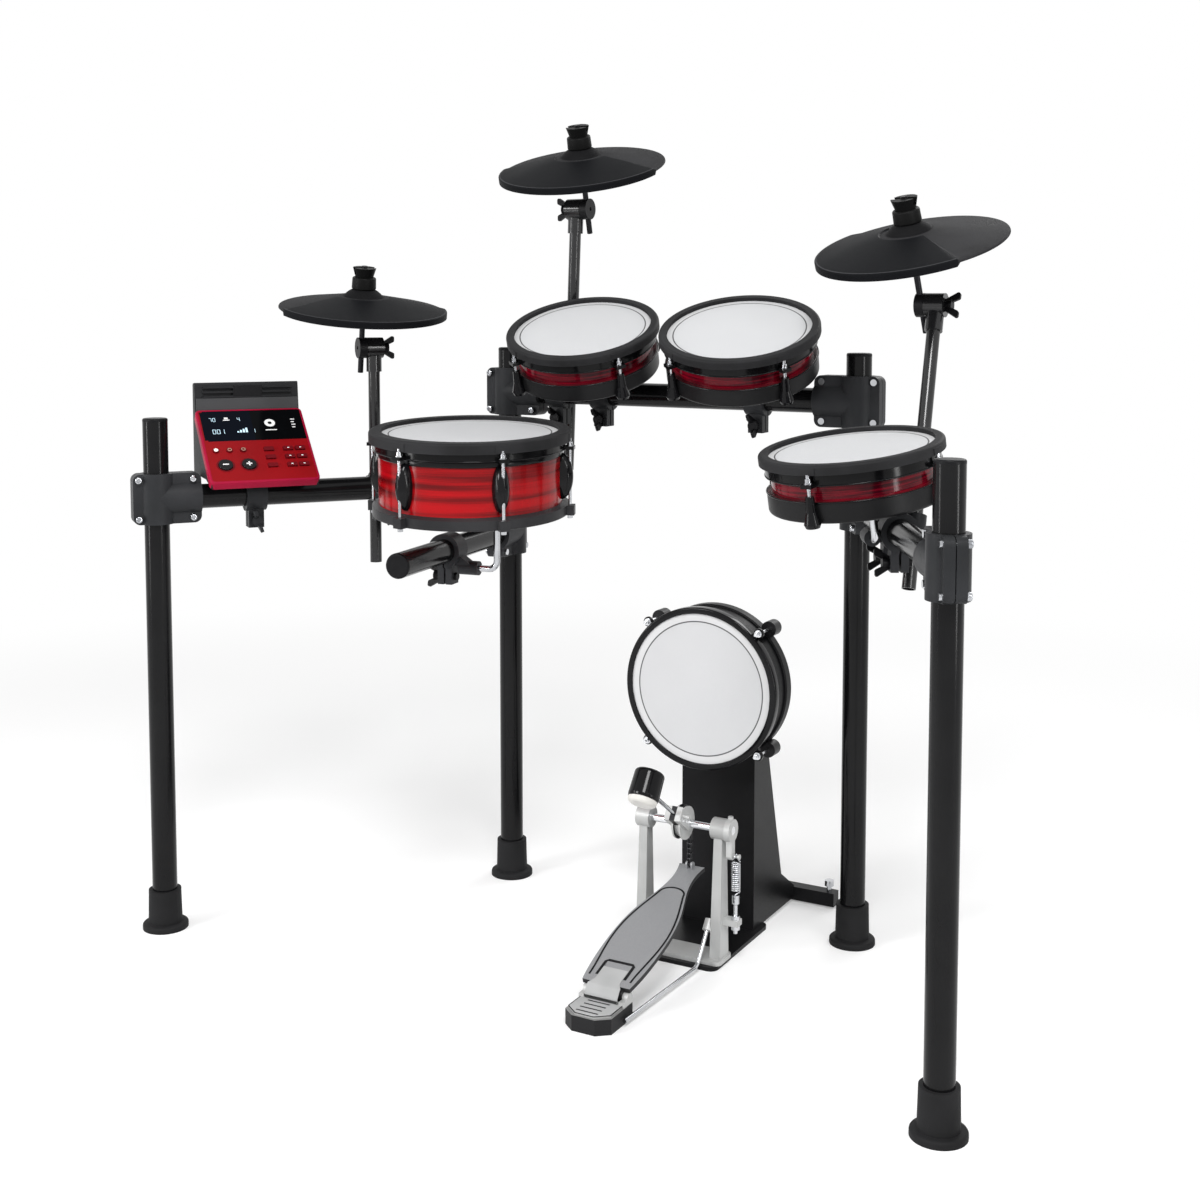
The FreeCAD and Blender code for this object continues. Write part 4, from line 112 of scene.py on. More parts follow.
print("pads", list(PADS), "cymbals", list(SEATS))

# %% [markdown]
# ## Surfaces from grids
# A new piece is a grid of points: one direction runs round or along the piece, the other across it. numpy
# works out all the points at once, and four neighbours make a face. Rows that shrink to a point are merged
# into a pole, so a turned piece is closed without a special case.

# %% Turn grids into pieces
MERGED = 2e-7
SLIVER = 1e-7
NEARLY_ONE = 0.99999


def shaped(name, points, faces, finish, body, uv=None, sharp=40):
    """A closed mesh on a body: doubles merged, normals outwards, smooth but for edges past an angle."""
    mesh = bpy.data.meshes.new(name)
    mesh.from_pydata(points.reshape(-1, 3).tolist(), [], faces.tolist())
    if uv is not None:
        layer = mesh.uv_layers.new(name="weave")
        layer.data.foreach_set("uv", uv.reshape(-1, 2)[faces.ravel()].astype(np.float32).ravel())
    cleaned = bmesh.new()
    cleaned.from_mesh(mesh)
    bmesh.ops.remove_doubles(cleaned, verts=cleaned.verts, dist=MERGED)
    bmesh.ops.dissolve_degenerate(cleaned, edges=cleaned.edges, dist=SLIVER)
    bmesh.ops.recalc_face_normals(cleaned, faces=cleaned.faces)
    cleaned.to_mesh(mesh)
    cleaned.free()
    mesh.polygons.foreach_set("use_smooth", np.ones(len(mesh.polygons), bool))
    mesh.set_sharp_from_angle(angle=math.radians(sharp))
    mesh.materials.append(finish)
    made = bpy.data.objects.new(name, mesh)
    bpy.context.scene.collection.objects.link(made)
    if body:
        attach(made, body)
    print(name, len(mesh.polygons), "faces")
    return made


def grid_faces(rows, columns, round_rows=False, round_columns=False):
    """Each face joins a point to the next in its row and column; a round direction ends where it starts."""
    row = np.arange(rows if round_rows else rows - 1)[:, None]
    column = np.arange(columns if round_columns else columns - 1)[None, :]
    next_row, next_column = (row + 1) % rows, (column + 1) % columns
    corners = (row * columns + column, next_row * columns + column,
               next_row * columns + next_column, row * columns + next_column)
    return np.stack([np.broadcast_to(c, (row.size, column.size)) for c in corners], -1).reshape(-1, 4)


def repeated(name, grids, finish, body, round_rows=False, round_columns=False, sharp=40):
    """Several grids of one size as one piece: the faces of the first, shifted by the points before each."""
    grids = np.asarray(grids)
    count, rows, columns = grids.shape[:3]
    faces = grid_faces(rows, columns, round_rows, round_columns)
    faces = (np.arange(count)[:, None, None] * rows * columns + faces).reshape(-1, 4)
    return shaped(name, grids, faces, finish, body, None, sharp)


def piece(name, grid, finish, body, round_rows=False, round_columns=False, uv=None, sharp=40):
    """One grid of rows by columns of points as a piece."""
    faces = grid_faces(*grid.shape[:2], round_rows, round_columns)
    return shaped(name, grid, faces, finish, body, uv, sharp)


def rounded(outline, radii, steps=6):
    """An outline whose inner corners become arcs: each arc is centred on the corner's bisector at radius over
    the sine of half the corner, and swings between the two points where it touches the sides."""
    outline, radii = np.asarray(outline, float), np.asarray(radii, float)[1:-1]
    corner = outline[1:-1]
    back, ahead = unit(outline[:-2] - corner), unit(outline[2:] - corner)
    half = np.arccos(np.clip((back * ahead).sum(1), -NEARLY_ONE, NEARLY_ONE)) / 2
    reach = (radii / np.tan(half))[:, None]
    centre = corner + unit(back + ahead) * (radii / np.sin(half))[:, None]
    swing = (np.pi - 2 * half)[:, None, None]
    share = np.linspace(0, 1, steps)[None, :, None]
    first, last = (corner + back * reach - centre)[:, None], (corner + ahead * reach - centre)[:, None]
    arcs = (np.sin((1 - share) * swing) * first + np.sin(share * swing) * last) / np.sin(swing)
    arcs = arcs + centre[:, None]
    return np.concatenate([outline[:1], arcs.reshape(-1, 2), outline[-1:]])


def circle(count):
    """The angles of a full turn in equal steps."""
    return np.linspace(0, 2 * np.pi, count, endpoint=False)


def polar(radius, angle, height=0.0):
    """x = r cos a, y = r sin a, z = h."""
    return np.stack(np.broadcast_arrays(radius * np.cos(angle), radius * np.sin(angle), height), -1)


def turned(profile, place, count):
    """A profile of (radius, height) spun about the place's Z: x = r cos a, y = r sin a, z = h."""
    return place.world(polar(profile[None, :, 0], circle(count)[:, None], profile[None, :, 1]))


def spun(name, profile, place, count, finish, body, closed=False, uv=None):
    """A turned piece, from an open profile between two poles or from a closed section."""
    return piece(name, turned(profile, place, count), finish, body, True, closed, uv)


def tube(path, radius, sides, hint=(1, 1, 1)):
    """A round tube on a path: the path plus radius times (N cos a + B sin a), with N and B square to its
    heading. Both ends shrink to a point, which closes them."""
    path = np.concatenate([path[:1], path, path[-1:]])
    heading = unit(np.gradient(path, axis=0))
    normal = unit(np.cross(heading, np.asarray(hint, float)))
    other = np.cross(heading, normal)
    reach = np.full(len(path), float(radius))
    reach[[0, -1]] = 0.0
    angle = circle(sides)[None, :, None]
    section = normal[:, None] * np.cos(angle) + other[:, None] * np.sin(angle)
    return path[:, None] + reach[:, None, None] * section


print("surface helpers ready")

# %% [markdown]
# ## Shader sums in plain Python
# A finish is a small sum: some grain here, a little roughness there. Wrapping a socket in a class with
# operators lets those sums be written as they are thought of, and every other node comes from one method.

# %% The socket class and the finish class
SUMS = {"add": "ADD", "sub": "SUBTRACT", "mul": "MULTIPLY", "truediv": "DIVIDE", "pow": "POWER"}
# Two levels of shine, for the shader's Specular IOR Level
LOW, MID = 0.1, 0.5


class Wire:
    """A shader value that takes part in sums; each sum adds a Math node."""

    def __init__(self, finish, socket):
        self.finish = finish
        self.socket = socket


def operator(operation, swapped):
    """A method that adds the node of an operation, with its two sides as written or swapped."""
    def method(self, other):
        first, second = (other, self) if swapped else (self, other)
        return self.finish.node("Math", {"operation": operation}, {0: first, 1: second})
    return method


for sign, operation in SUMS.items():
    setattr(Wire, f"__{sign}__", operator(operation, False))
    setattr(Wire, f"__r{sign}__", operator(operation, True))


def opaque(value):
    """A colour of three shares gets a full alpha; a number or a wire stays as it is."""
    return (*value, 1) if isinstance(value, tuple) else value


class Finish:
    """A material being built on the Principled shader."""

    def __init__(self, name, owner=None):
        self.material = owner or bpy.data.materials.new(name)
        self.material.use_nodes = True
        self.tree = self.material.node_tree
        self.shader = self.tree.nodes.get("Principled BSDF")

    def node(self, kind, settings=None, inputs=None, output=0):
        """Adds a node: its type, its settings, then the values or links of its sockets."""
        made = self.tree.nodes.new("ShaderNode" + kind)
        for key, value in (settings or {}).items():
            setattr(made, key, value)
        for key, value in (inputs or {}).items():
            self.join(made.inputs[key], value)
        return Wire(self, made.outputs[output])

    def join(self, socket, value):
        if isinstance(value, Wire):
            self.tree.links.new(value.socket, socket)
        else:
            socket.default_value = value

    def here(self, place=None):
        """Object coordinates, or coordinates in the frame of a place."""
        point = self.node("TexCoord", output="Object")
        if place is None:
            return point
        turn = tuple(place.turn().to_euler("XYZ"))
        return self.node("Mapping", {"vector_type": "TEXTURE"},
                         {"Vector": point, "Location": tuple(place.origin), "Rotation": turn})

    def axis(self, vector, which):
        return self.node("SeparateXYZ", None, {0: vector}, "XYZ".index(which))

    def stretch(self, vector, x, y, z):
        return self.node("VectorMath", {"operation": "MULTIPLY"}, {0: vector, 1: (x, y, z)})

    def noise(self, vector, scale, detail=3.0, rough=0.55):
        inputs = {"Vector": vector, "Scale": scale, "Detail": detail, "Roughness": rough}
        return self.node("TexNoise", None, inputs)

    def sine(self, value):
        return self.node("Math", {"operation": "SINE"}, {0: value})

    def step(self, value, low, high):
        """0 below low, 1 above high, and a smooth rise between."""
        return self.node("MapRange", {"interpolation_type": "SMOOTHSTEP"}, {0: value, 1: low, 2: high})

    def past(self, value, mark, half):
        """0 below a mark and 1 above it, with a smooth rise of the given half width."""
        return self.step(value, mark - half, mark + half)

    def mix(self, share, first, second):
        """One colour fading into another."""
        return self.node("Mix", {"data_type": "RGBA"}, {0: share, 6: opaque(first), 7: opaque(second)}, 2)

    def bump(self, height, distance):
        return self.node("Bump", None, {"Strength": 1.0, "Distance": distance, "Height": height})

    def done(self, **sockets):
        """Sets the shader's sockets and hands back the material."""
        for key, value in sockets.items():
            socket = self.shader.inputs[key.replace("_", " ").title().replace("Ior", "IOR")]
            self.join(socket, opaque(value))
        return self.material


def grained(name, dark, light, rough, spread=0.2, scale=1500.0, depth=1e-4, shine=LOW, metallic=0.0):
    """A moulded or sprayed finish: two near colours that drift, roughness that drifts with them, and a fine
    skin."""
    finish = Finish(name)
    point = finish.here()
    drift = finish.noise(point, 9.0)
    skin = finish.noise(point, scale, 4.0, 0.6)
    scuff = finish.step(finish.noise(point, 60.0, 5.0, 0.7), 0.58, 0.72)
    return finish.done(base_color=finish.mix(finish.step(drift, 0.3, 0.7), dark, light), metallic=metallic,
                       roughness=rough + spread * (drift - 0.5) + spread * 0.5 * scuff,
                       specular_ior_level=shine, normal=finish.bump(skin, depth))


print("finish class ready")

# %% [markdown]
# ## Finishes of the rack
# The tubes are black and glossy with a faint orange-peel skin, the clamps are grained plastic, the bolts are
# chrome with a few smudges, and the feet are matt rubber. Drifting noise breaks each of them up, because a
# flat colour never looks like a real part.

# %% Paint, plastic, rubber and chrome
# Dark and light colour, roughness and its spread, scale and depth of the skin, shine, metal
FINE = 2e-5
tube_black = grained("tube_black", (0.004, 0.004, 0.0045), (0.007, 0.007, 0.0075), 0.16, 0.1, 700, FINE, 0.17)
boom_black = grained("boom_black", (0.008, 0.008, 0.0085), (0.014, 0.014, 0.015), 0.18, 0.1, 700, FINE, MID)
clamp_plastic = grained("clamp_plastic", (0.02, 0.021, 0.0225), (0.034, 0.035, 0.038), 0.4, 0.2, 1400, 1.2e-4)
black_plastic = grained("black_plastic", (0.004, 0.004, 0.0046), (0.008, 0.008, 0.009), 0.38)
black_gloss = grained("black_gloss", (0.003, 0.003, 0.0035), (0.006, 0.006, 0.007), 0.14, 0.12, 500, FINE,
                      0.18)
foot_rubber = grained("foot_rubber", (0.011, 0.011, 0.0115), (0.019, 0.019, 0.02), 0.66, 0.2, 1800, 1.4e-4)
tower_black = grained("tower_black", (0.006, 0.006, 0.0065), (0.011, 0.011, 0.012), 0.34, 0.18, 1300)
dark_steel = grained("dark_steel", (0.03, 0.03, 0.032), (0.07, 0.07, 0.074), 0.36, 0.2, 1200, 5e-5, MID, 0.9)
chrome = grained("chrome", (0.4, 0.41, 0.43), (0.62, 0.63, 0.65), 0.1, 0.14, 900, FINE, MID, 1.0)
cast_grey = grained("cast_grey", (0.4, 0.405, 0.4), (0.52, 0.525, 0.52), 0.42, 0.2, 1100, 1e-4, MID, 0.3)
hoop_grey = grained("hoop_grey", (0.02, 0.02, 0.0215), (0.034, 0.034, 0.036), 0.36)
module_grey = grained("module_grey", (0.012, 0.0125, 0.0135), (0.02, 0.0205, 0.022), 0.48, 0.2, 1700, 1.2e-4)
print("plain finishes ready")

# %% [markdown]
# ## Finishes that follow a pad
# The snare's red wrap has fine streaks that run round the shell, so its noise is squeezed along the pad's own
# Z. A tom's shell is dark red above the base ring and black below. The rim is charcoal rubber on a glossy
# hoop.

# %% Wraps and rims
RING_TOP = -0.048
COLLAR_FOOT = -0.037
RUBBER_SHARE = 0.054
CLAW_FRONT = -0.04735
HAIR = 0.00005


def snare_wrap(place):
    """Red film whose streaks are noise stretched round the shell, with a black collar at its top."""
    finish = Finish("snare_wrap")
    local = finish.here(place)
    streak = finish.noise(finish.stretch(local, 1.6, 1.6, 46.0), 1.6, 2.0, 0.5)
    fine = finish.noise(finish.stretch(local, 8.0, 8.0, 700.0), 1.0, 2.0, 0.6)
    tone = finish.step(streak * 0.8 + fine * 0.2, 0.34, 0.64)
    film = finish.mix(tone, (0.1, 0.001, 0.002), (0.4, 0.002, 0.005))
    collar = finish.past(finish.axis(local, "Z"), COLLAR_FOOT, 0.0002)
    return finish.done(base_color=finish.mix(collar, film, (0.004, 0.004, 0.0045)),
                       roughness=0.1 + 0.12 * fine, specular_ior_level=0.2,
                       normal=finish.bump(fine, 0.00001))


def tom_wrap(name, place):
    """Dark red film above the base ring, black plastic below it."""
    finish = Finish(name + "_wrap")
    local = finish.here(place)
    streak = finish.noise(finish.stretch(local, 4.0, 4.0, 200.0), 2.0, 3.0, 0.6)
    ring = 1 - finish.past(finish.axis(local, "Z"), RING_TOP, 0.0003)
    patch = finish.noise(finish.stretch(local, 1.0, 1.0, 3.0), 9.0, 2.0)
    tone = finish.step(streak * 0.5 + patch * 0.5, 0.4, 0.62)
    film = finish.mix(tone, (0.028, 0.001, 0.004), (0.24, 0.003, 0.014))
    grain = finish.noise(finish.here(), 1300.0)
    return finish.done(base_color=finish.mix(ring, film, (0.006, 0.006, 0.0065)),
                       roughness=0.1 + 0.26 * ring + 0.08 * streak, specular_ior_level=0.17,
                       normal=finish.bump(grain * ring, 0.00008))


def rim_finish(name, place):
    """Matt charcoal rubber above, glossy black hoop below the rubber's foot."""
    finish = Finish(name + "_rim_rubber")
    local = finish.here(place)
    rubber = finish.past(finish.axis(local, "Z"), -2 * RIMS[name] * RUBBER_SHARE - HAIR, HAIR)
    drift = finish.noise(finish.here(), 14.0)
    grain = finish.noise(finish.here(), 1900.0, 4.0, 0.6)
    colour = finish.mix(finish.step(drift, 0.3, 0.7), (0.011, 0.011, 0.0118), (0.02, 0.02, 0.0215))
    return finish.done(base_color=finish.mix(rubber, (0.004, 0.004, 0.0045), colour),
                       roughness=0.14 + rubber * (0.42 + 0.16 * drift), specular_ior_level=0.15,
                       normal=finish.bump(grain * rubber, 0.00012))


def claw_finish(place):
    """Black claws behind, chrome rods and washers in front."""
    finish = Finish("kick_claw_finish")
    front = finish.past(finish.axis(finish.here(place), "Z"), CLAW_FRONT, 0.00015)
    smudge = finish.noise(finish.here(), 40.0)
    return finish.done(base_color=finish.mix(front, (0.01, 0.01, 0.011), (0.72, 0.73, 0.75)), metallic=front,
                       roughness=0.3 - 0.16 * front + 0.12 * smudge, specular_ior_level=0.2,
                       normal=finish.bump(smudge, FINE))


shell_finish = {name: tom_wrap(name, PADS[name]) for name in TOMS}
shell_finish["snare"] = snare_wrap(PADS["snare"])
rim_rubber = {name: rim_finish(name, PADS[name]) for name in ("snare", *TOMS)}
print("wraps for", list(shell_finish))

# %% [markdown]
# ## Finishes of the stands, the module and the pedal
# A cymbal rod is blackened steel inside a plastic tilter, so the finish changes with the distance from the
# rod's axis. The pedal's axle is chrome, its cam and rocker are cast, and the links that lie on the cam are
# dark: again the distance from an axis tells them apart.

# %% Rods, axle, heel, panel and display
ROD_SKIN = 0.0057
SHAFT_SKIN = 0.0063
LINK_REACH = 0.0206
LINK_HALF = 0.0043
HEEL_BLOCK = 0.022
SLOPE = math.radians(17.022)
BOARD = Place((0.130, -0.20188, 0.030), (0, -math.sin(SLOPE), math.cos(SLOPE)))
BOARD_TOP = 0.016


def away(finish, local):
    """The distance from the local Z axis: the root of x squared plus y squared."""
    first, second = (finish.axis(local, letter) for letter in "XY")
    return (first * first + second * second) ** 0.5


def rod_finish(name, place):
    """Blackened steel with fine turning marks within 6 mm of the rod's axis, grained plastic outside it."""
    finish = Finish(name + "_rod_finish")
    local = finish.here(place)
    outer = finish.past(away(finish, local), ROD_SKIN, 0.0001)
    smudge = finish.noise(local, 50.0)
    turning = finish.noise(finish.stretch(local, 1.0, 1.0, 90.0), 30.0, 2.0)
    return finish.done(base_color=finish.mix(outer, (0.02, 0.02, 0.022), (0.008, 0.008, 0.009)),
                       metallic=0.8 - 0.8 * outer, roughness=0.26 + 0.12 * smudge + 0.12 * outer,
                       specular_ior_level=0.16, normal=finish.bump(turning + smudge * outer, 0.00003))


def axle_finish():
    """Chrome shaft, cast parts round it, and dark links where the chain lies on the cam."""
    finish = Finish("axle_finish")
    local = finish.here(AXLE)
    reach = away(finish, local)
    cast = finish.past(reach, SHAFT_SKIN, 0.0001)
    side = finish.axis(local, "Z")
    middle = 1 - finish.step(side * side, (LINK_HALF - 0.0001) ** 2, (LINK_HALF + 0.0001) ** 2)
    link = finish.past(reach, LINK_REACH, 0.0001) * middle
    grain = finish.noise(finish.here(), 1100.0)
    drift = finish.noise(finish.here(), 30.0)
    body = finish.mix(cast, (0.74, 0.75, 0.77), (0.52, 0.525, 0.52))
    return finish.done(base_color=finish.mix(link, body, (0.03, 0.03, 0.032)),
                       metallic=1 - 0.6 * cast + 0.5 * link, roughness=0.12 + 0.28 * cast + 0.12 * drift,
                       normal=finish.bump(grain * cast, 0.00008))


def heel_finish():
    """A dark block with a light metal plate on top."""
    finish = Finish("heel_finish")
    top = finish.past(finish.axis(finish.here(), "Z"), HEEL_BLOCK, 0.0001)
    grain = finish.noise(finish.here(), 1500.0)
    drift = finish.noise(finish.here(), 25.0)
    light = finish.mix(drift, (0.46, 0.465, 0.46), (0.6, 0.6, 0.595))
    return finish.done(base_color=finish.mix(top, (0.012, 0.012, 0.013), light), metallic=0.3 * top,
                       roughness=0.5 - 0.1 * top + 0.12 * drift, specular_ior_level=0.2,
                       normal=finish.bump(grain, 0.0001))


def board_finish():
    """Silver paint with a fine metal flake and brushing along the board on top, black paint on its sides."""
    finish = Finish("board_silver")
    local = finish.here(BOARD)
    top = finish.step(finish.axis(local, "Z"), BOARD_TOP - 0.0006, BOARD_TOP - 0.0003)
    brush = finish.noise(finish.stretch(local, 900.0, 20.0, 20.0), 1.0)
    flake = finish.noise(local, 2600.0, 1.0)
    silver = finish.mix(finish.step(flake, 0.35, 0.65), (0.27, 0.275, 0.285), (0.37, 0.375, 0.385))
    return finish.done(base_color=finish.mix(top, (0.02, 0.02, 0.021), silver), metallic=0.35 * top,
                       roughness=0.4 + 0.14 * brush, specular_ior_level=0.2,
                       normal=finish.bump(brush + flake * 0.4, 0.00004))


def panel_finish(name, dark, light, rough):
    """Moulded red plastic with a fine spark texture."""
    return grained(name, dark, light, rough, 0.16, 2000, 0.00008)


def glass_finish():
    """Black glass with a faint blue depth and finger smears."""
    finish = Finish("display_glass")
    smear = finish.noise(finish.here(), 70.0, 5.0, 0.7)
    window = 1 - finish.past(finish.axis(finish.here(PANEL), "X"), 0.0, 0.001)
    depth = finish.mix(window, (0.002, 0.002, 0.0022), (0.0015, 0.003, 0.008))
    return finish.done(base_color=finish.mix(0.4 * smear, depth, (0.004, 0.005, 0.007)),
                       roughness=0.1 + 0.16 * finish.step(smear, 0.5, 0.8), specular_ior_level=0.03,
                       normal=finish.bump(smear, 0.00001))


display_glass = glass_finish()
panel_red = panel_finish("panel_red", (0.21, 0.003, 0.005), (0.27, 0.004, 0.007), 0.4)
key_red = panel_finish("key_red", (0.1, 0.003, 0.006), (0.15, 0.004, 0.008), 0.45)
nut_rubber = grained("nut_rubber", (0.003, 0.003, 0.003), (0.007, 0.007, 0.007), 0.45, shine=0.08)
print("stand, module and pedal finishes ready")

# %% [markdown]
# ## One finish for each group of solids
# The meshes that come from CAD aren't changed: a group only swaps its material. A table says which finish
# goes where, and two loops fill in the pads and the cymbals, because their parts repeat.

# %% Give each solid its finish
FINISHES = {
    "rack_posts": tube_black, "rack_bars": tube_black, "boom_tubes": boom_black, "tube_caps": black_plastic,
    "post_feet": foot_rubber, "rack_clamp_halves": clamp_plastic, "bar_clamps": clamp_plastic,
    "module_clamp": clamp_plastic, "rack_clamp_bolts": chrome, "clamp_wing_bolts": black_plastic,
    "snare_bottom_hoop": hoop_grey, "module_case": module_grey, "module_panel": panel_red,
    "module_display": display_glass, "minus_button": black_gloss, "plus_button": black_gloss,
    "key_buttons": key_red, "kick_shell": black_plastic, "kick_hoop": black_gloss,
    "kick_claws": claw_finish(PADS["kick"]), "tower_frame": tower_black, "tower_spurs": chrome,
    "pedal_frame": cast_grey, "pedal_heel_plate": heel_finish(), "pedal_footboard": board_finish(),
    "pedal_axle": axle_finish(), "pedal_chain": dark_steel, "pedal_wires": chrome,
}
for name in ("snare", *TOMS):
    FINISHES.update({name + "_shell": shell_finish[name], name + "_rim": rim_rubber[name],
                     name + "_lugs": black_gloss, name + "_rods": chrome})
for name, seat in SEATS.items():
    FINISHES.update({name + "_rod": rod_finish(name, seat), name + "_wing_nut": nut_rubber})
for name, finish in FINISHES.items():
    solid = nodes[name]
    solid.data.materials.clear()
    solid.data.materials.append(finish)
print(len(FINISHES), "groups of solids have their finish")

# %% [markdown]
# ## Mesh heads
# A mesh head is a woven cloth drawn tight over the shell. It could be a plain disc, but the weave has to stay
# square and the printed ring has to stay round, so the disc carries a flat map of its own plane: one unit of
# the map is one metre of cloth.

# %% Woven heads
INSET, INSETS = 0.0125, {"snare": 0.018, "kick": 0.0098}
RING_SHARE, RING_SHARES = 0.915, {"kick": 0.895}
HEAD_TOP, HEAD_TOPS = -0.0058, {"kick": -0.0028}
HOOP_INSET = 0.0068
BEARING = 0.0034
CLOTH = 0.0007
TURN_DOWN = 0.008
FOLD = 0.003
WAVE = 2 * math.pi / 0.0011
PAD_STEPS = 120


def head_cloth(name, ring):
    """White yarns over and under each other, a thin dark ring, and a smoother band outside it."""
    finish = Finish(name + "_cloth")
    flat = finish.node("UVMap", {"uv_map": "weave"})
    across, along = (finish.sine(finish.axis(flat, letter) * WAVE) for letter in "XY")
    weave = across * along * 0.5 + 0.5
    drift = finish.noise(flat, 12.0)
    reach = away(finish, flat)
    line = 1 - finish.step((reach - ring) * (reach - ring), 0.0007 ** 2, 0.0012 ** 2)
    band = finish.step(reach, ring, ring + 0.001)
    cloth = finish.mix(weave, (0.52, 0.525, 0.535), (0.66, 0.665, 0.675))
    cloth = finish.mix(0.12 * finish.step(drift, 0.3, 0.8), cloth, (0.48, 0.49, 0.51))
    cloth = finish.mix(band * 0.6, cloth, (0.64, 0.64, 0.645))
    return finish.done(base_color=finish.mix(line * 0.9, cloth, (0.02, 0.02, 0.022)),
                       roughness=0.72 - 0.2 * band, normal=finish.bump(weave * (1 - band * 0.7), 0.00015))


def head(name, body):
    """A thin closed disc with a collar: flat to the bearing edge, then rounded down beside the shell."""
    top = HEAD_TOPS.get(name, HEAD_TOP)
    collar = RIMS[name] - BEARING - (0 if name == "kick" else HOOP_INSET)
    line = (RIMS[name] - INSETS.get(name, INSET)) * RING_SHARES.get(name, RING_SHARE)
    outline = [(0, top), (collar, top), (collar, top - TURN_DOWN), (collar - CLOTH, top - TURN_DOWN),
               (collar - CLOTH, top - CLOTH), (0, top - CLOTH)]
    profile = rounded(outline, [0, FOLD, 0, 0, FOLD - CLOTH, 0])
    inner = np.linspace(0, 1, 12)[1:-1, None] * profile[1:2]
    inner[:, 1] = top
    profile = np.concatenate([profile[:1], inner, profile[1:]])
    uv = polar(profile[None, :, 0], circle(PAD_STEPS)[:, None])[..., :2]
    made = spun(name + "_mesh_head", profile, PADS[name], PAD_STEPS, head_cloth(name, line), body,
                uv=uv)
    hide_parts(name + "_head")


for name in PADS:
    head(name, "rack" if name == "kick" else name)

# %% [markdown]
# ## Front hoop of the kick pad
# The kick's head is held by a pressed hoop whose front edge rolls inwards over the cloth, with a tab for each
# of the four rods. A solid with square edges would miss the line of light along the roll, so the hoop is a
# rounded section spun about the pad, and each tab is a short turned peg.

# %% Rolled hoop and its tabs
KICK = PADS["kick"]
HOOP = RIMS["kick"]
HOOP_BACK = -0.015
HOOP_WALL = 0.003
UNDER_LIP = -0.00275
TAB_CIRCLE = HOOP + 0.0063
TAB_RADIUS = 0.0078
TAB_FRONT = -0.010
lip = HOOP - INSETS["kick"]
section = rounded([(HOOP - HOOP_WALL, HOOP_BACK), (HOOP - HOOP_WALL, UNDER_LIP), (lip, UNDER_LIP), (lip, 0),
                   (HOOP, 0), (HOOP, HOOP_BACK), (HOOP - 0.001, HOOP_BACK)],
                  [0, 0.0004, 0.0004, 0.0012, 0.0026, 0.0008, 0])
hoop = spun("kick_front_hoop", section, KICK, 144, black_gloss, "rack", closed=True)
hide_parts("kick_hoop")
tab = rounded([(0, HOOP_BACK), (TAB_RADIUS, HOOP_BACK), (TAB_RADIUS, TAB_FRONT), (0, TAB_FRONT)],
              [0, 0.001, 0.001, 0], 4)
spots = KICK.world(polar(TAB_CIRCLE, np.radians(45 + 90 * np.arange(4))))
tabs = [turned(tab, Place(spot, KICK.axes[2]), 24) for spot in spots]
repeated("kick_hoop_tabs", tabs, black_gloss, "rack", round_rows=True)

# %% [markdown]
# ## Cymbals
# A practice cymbal is moulded rubber: a ball-shaped bell, a bow that falls to the edge, and on the player's
# side a thicker playing zone with a step at each end. The top and the underside are one closed ring of
# points, whose height depends on the radius and, in the zone, on the angle.

# %% Rubber cymbals
EDGE = 0.135
BELL = 0.032
HOLE = 0.009
BALL_TOP, BALL_UNDER = 0.041, 0.036
FOOT = 0.01649
SHOULDER = 0.02563
DROP = 0.015
THICK = 0.004
ZONE_START = 0.041
ZONE_STEP = 0.0025
ZONE_HALF = math.radians(84)
ZONE_FADE = 0.012
ZONE_TURN = {"hihat": 0.0, "crash": math.radians(-5), "ride": math.radians(-28)}
LIP_ROUND = 0.0022
LIP_OUT = 0.0012
LIP_DROP = 0.005
RINGS = 2 * math.pi / 0.0012


def smooth(low, high, value):
    """0 below low, 1 above high, and 3t squared minus 2t cubed between."""
    share = np.clip((value - low) / (high - low), 0, 1)
    return share * share * (3 - 2 * share)


def cymbal_rubber(name):
    """Charcoal rubber: fine rings and grain outside the playing zone, smoother inside it, and a painted
    highlight, a thin light line near the zone's edge.
    """
    finish = Finish(name + "_cymbal_rubber")
    local = finish.here(SEATS[name])
    reach = away(finish, local)
    turn = ZONE_TURN[name]
    facing = finish.axis(local, "X") * math.sin(turn) - finish.axis(local, "Y") * math.cos(turn)
    player = finish.past(facing / (reach + 1e-6), math.cos(ZONE_HALF), 0.01)
    zone = player * finish.step(reach, ZONE_START, ZONE_START + 0.002)
    bell = 1 - finish.step(reach, BELL + 0.0005, BELL + 0.003)
    # Painted highlight: a thin light line just inside the edge of the playing zone, where the lip would catch
    # the light
    line = player * finish.step(reach, EDGE - 0.0026, EDGE - 0.0018)
    line = line * (1 - finish.step(reach, EDGE - 0.0008, EDGE))
    grain = finish.noise(local, 1700.0, 4.0, 0.65)
    drift = finish.noise(local, 16.0)
    skin = grain * (1 - 0.6 * zone) + finish.sine(reach * RINGS) * (0.3 - 0.25 * zone)
    tone = finish.mix(finish.step(drift, 0.25, 0.75), (0.02, 0.02, 0.021), (0.034, 0.034, 0.036))
    tone = finish.mix(zone * 0.94, tone, (0.004, 0.0044, 0.0054))
    tone = finish.mix(bell * 0.8, tone, (0.004, 0.004, 0.0044))
    # The light grey mixed in here is the painted highlight line along the zone's edge
    return finish.done(base_color=finish.mix(line * 0.8, tone, (0.05, 0.051, 0.054)),
                       roughness=0.56 - 0.1 * zone + 0.16 * drift, specular_ior_level=0.04,
                       normal=finish.bump(skin, 0.00022))


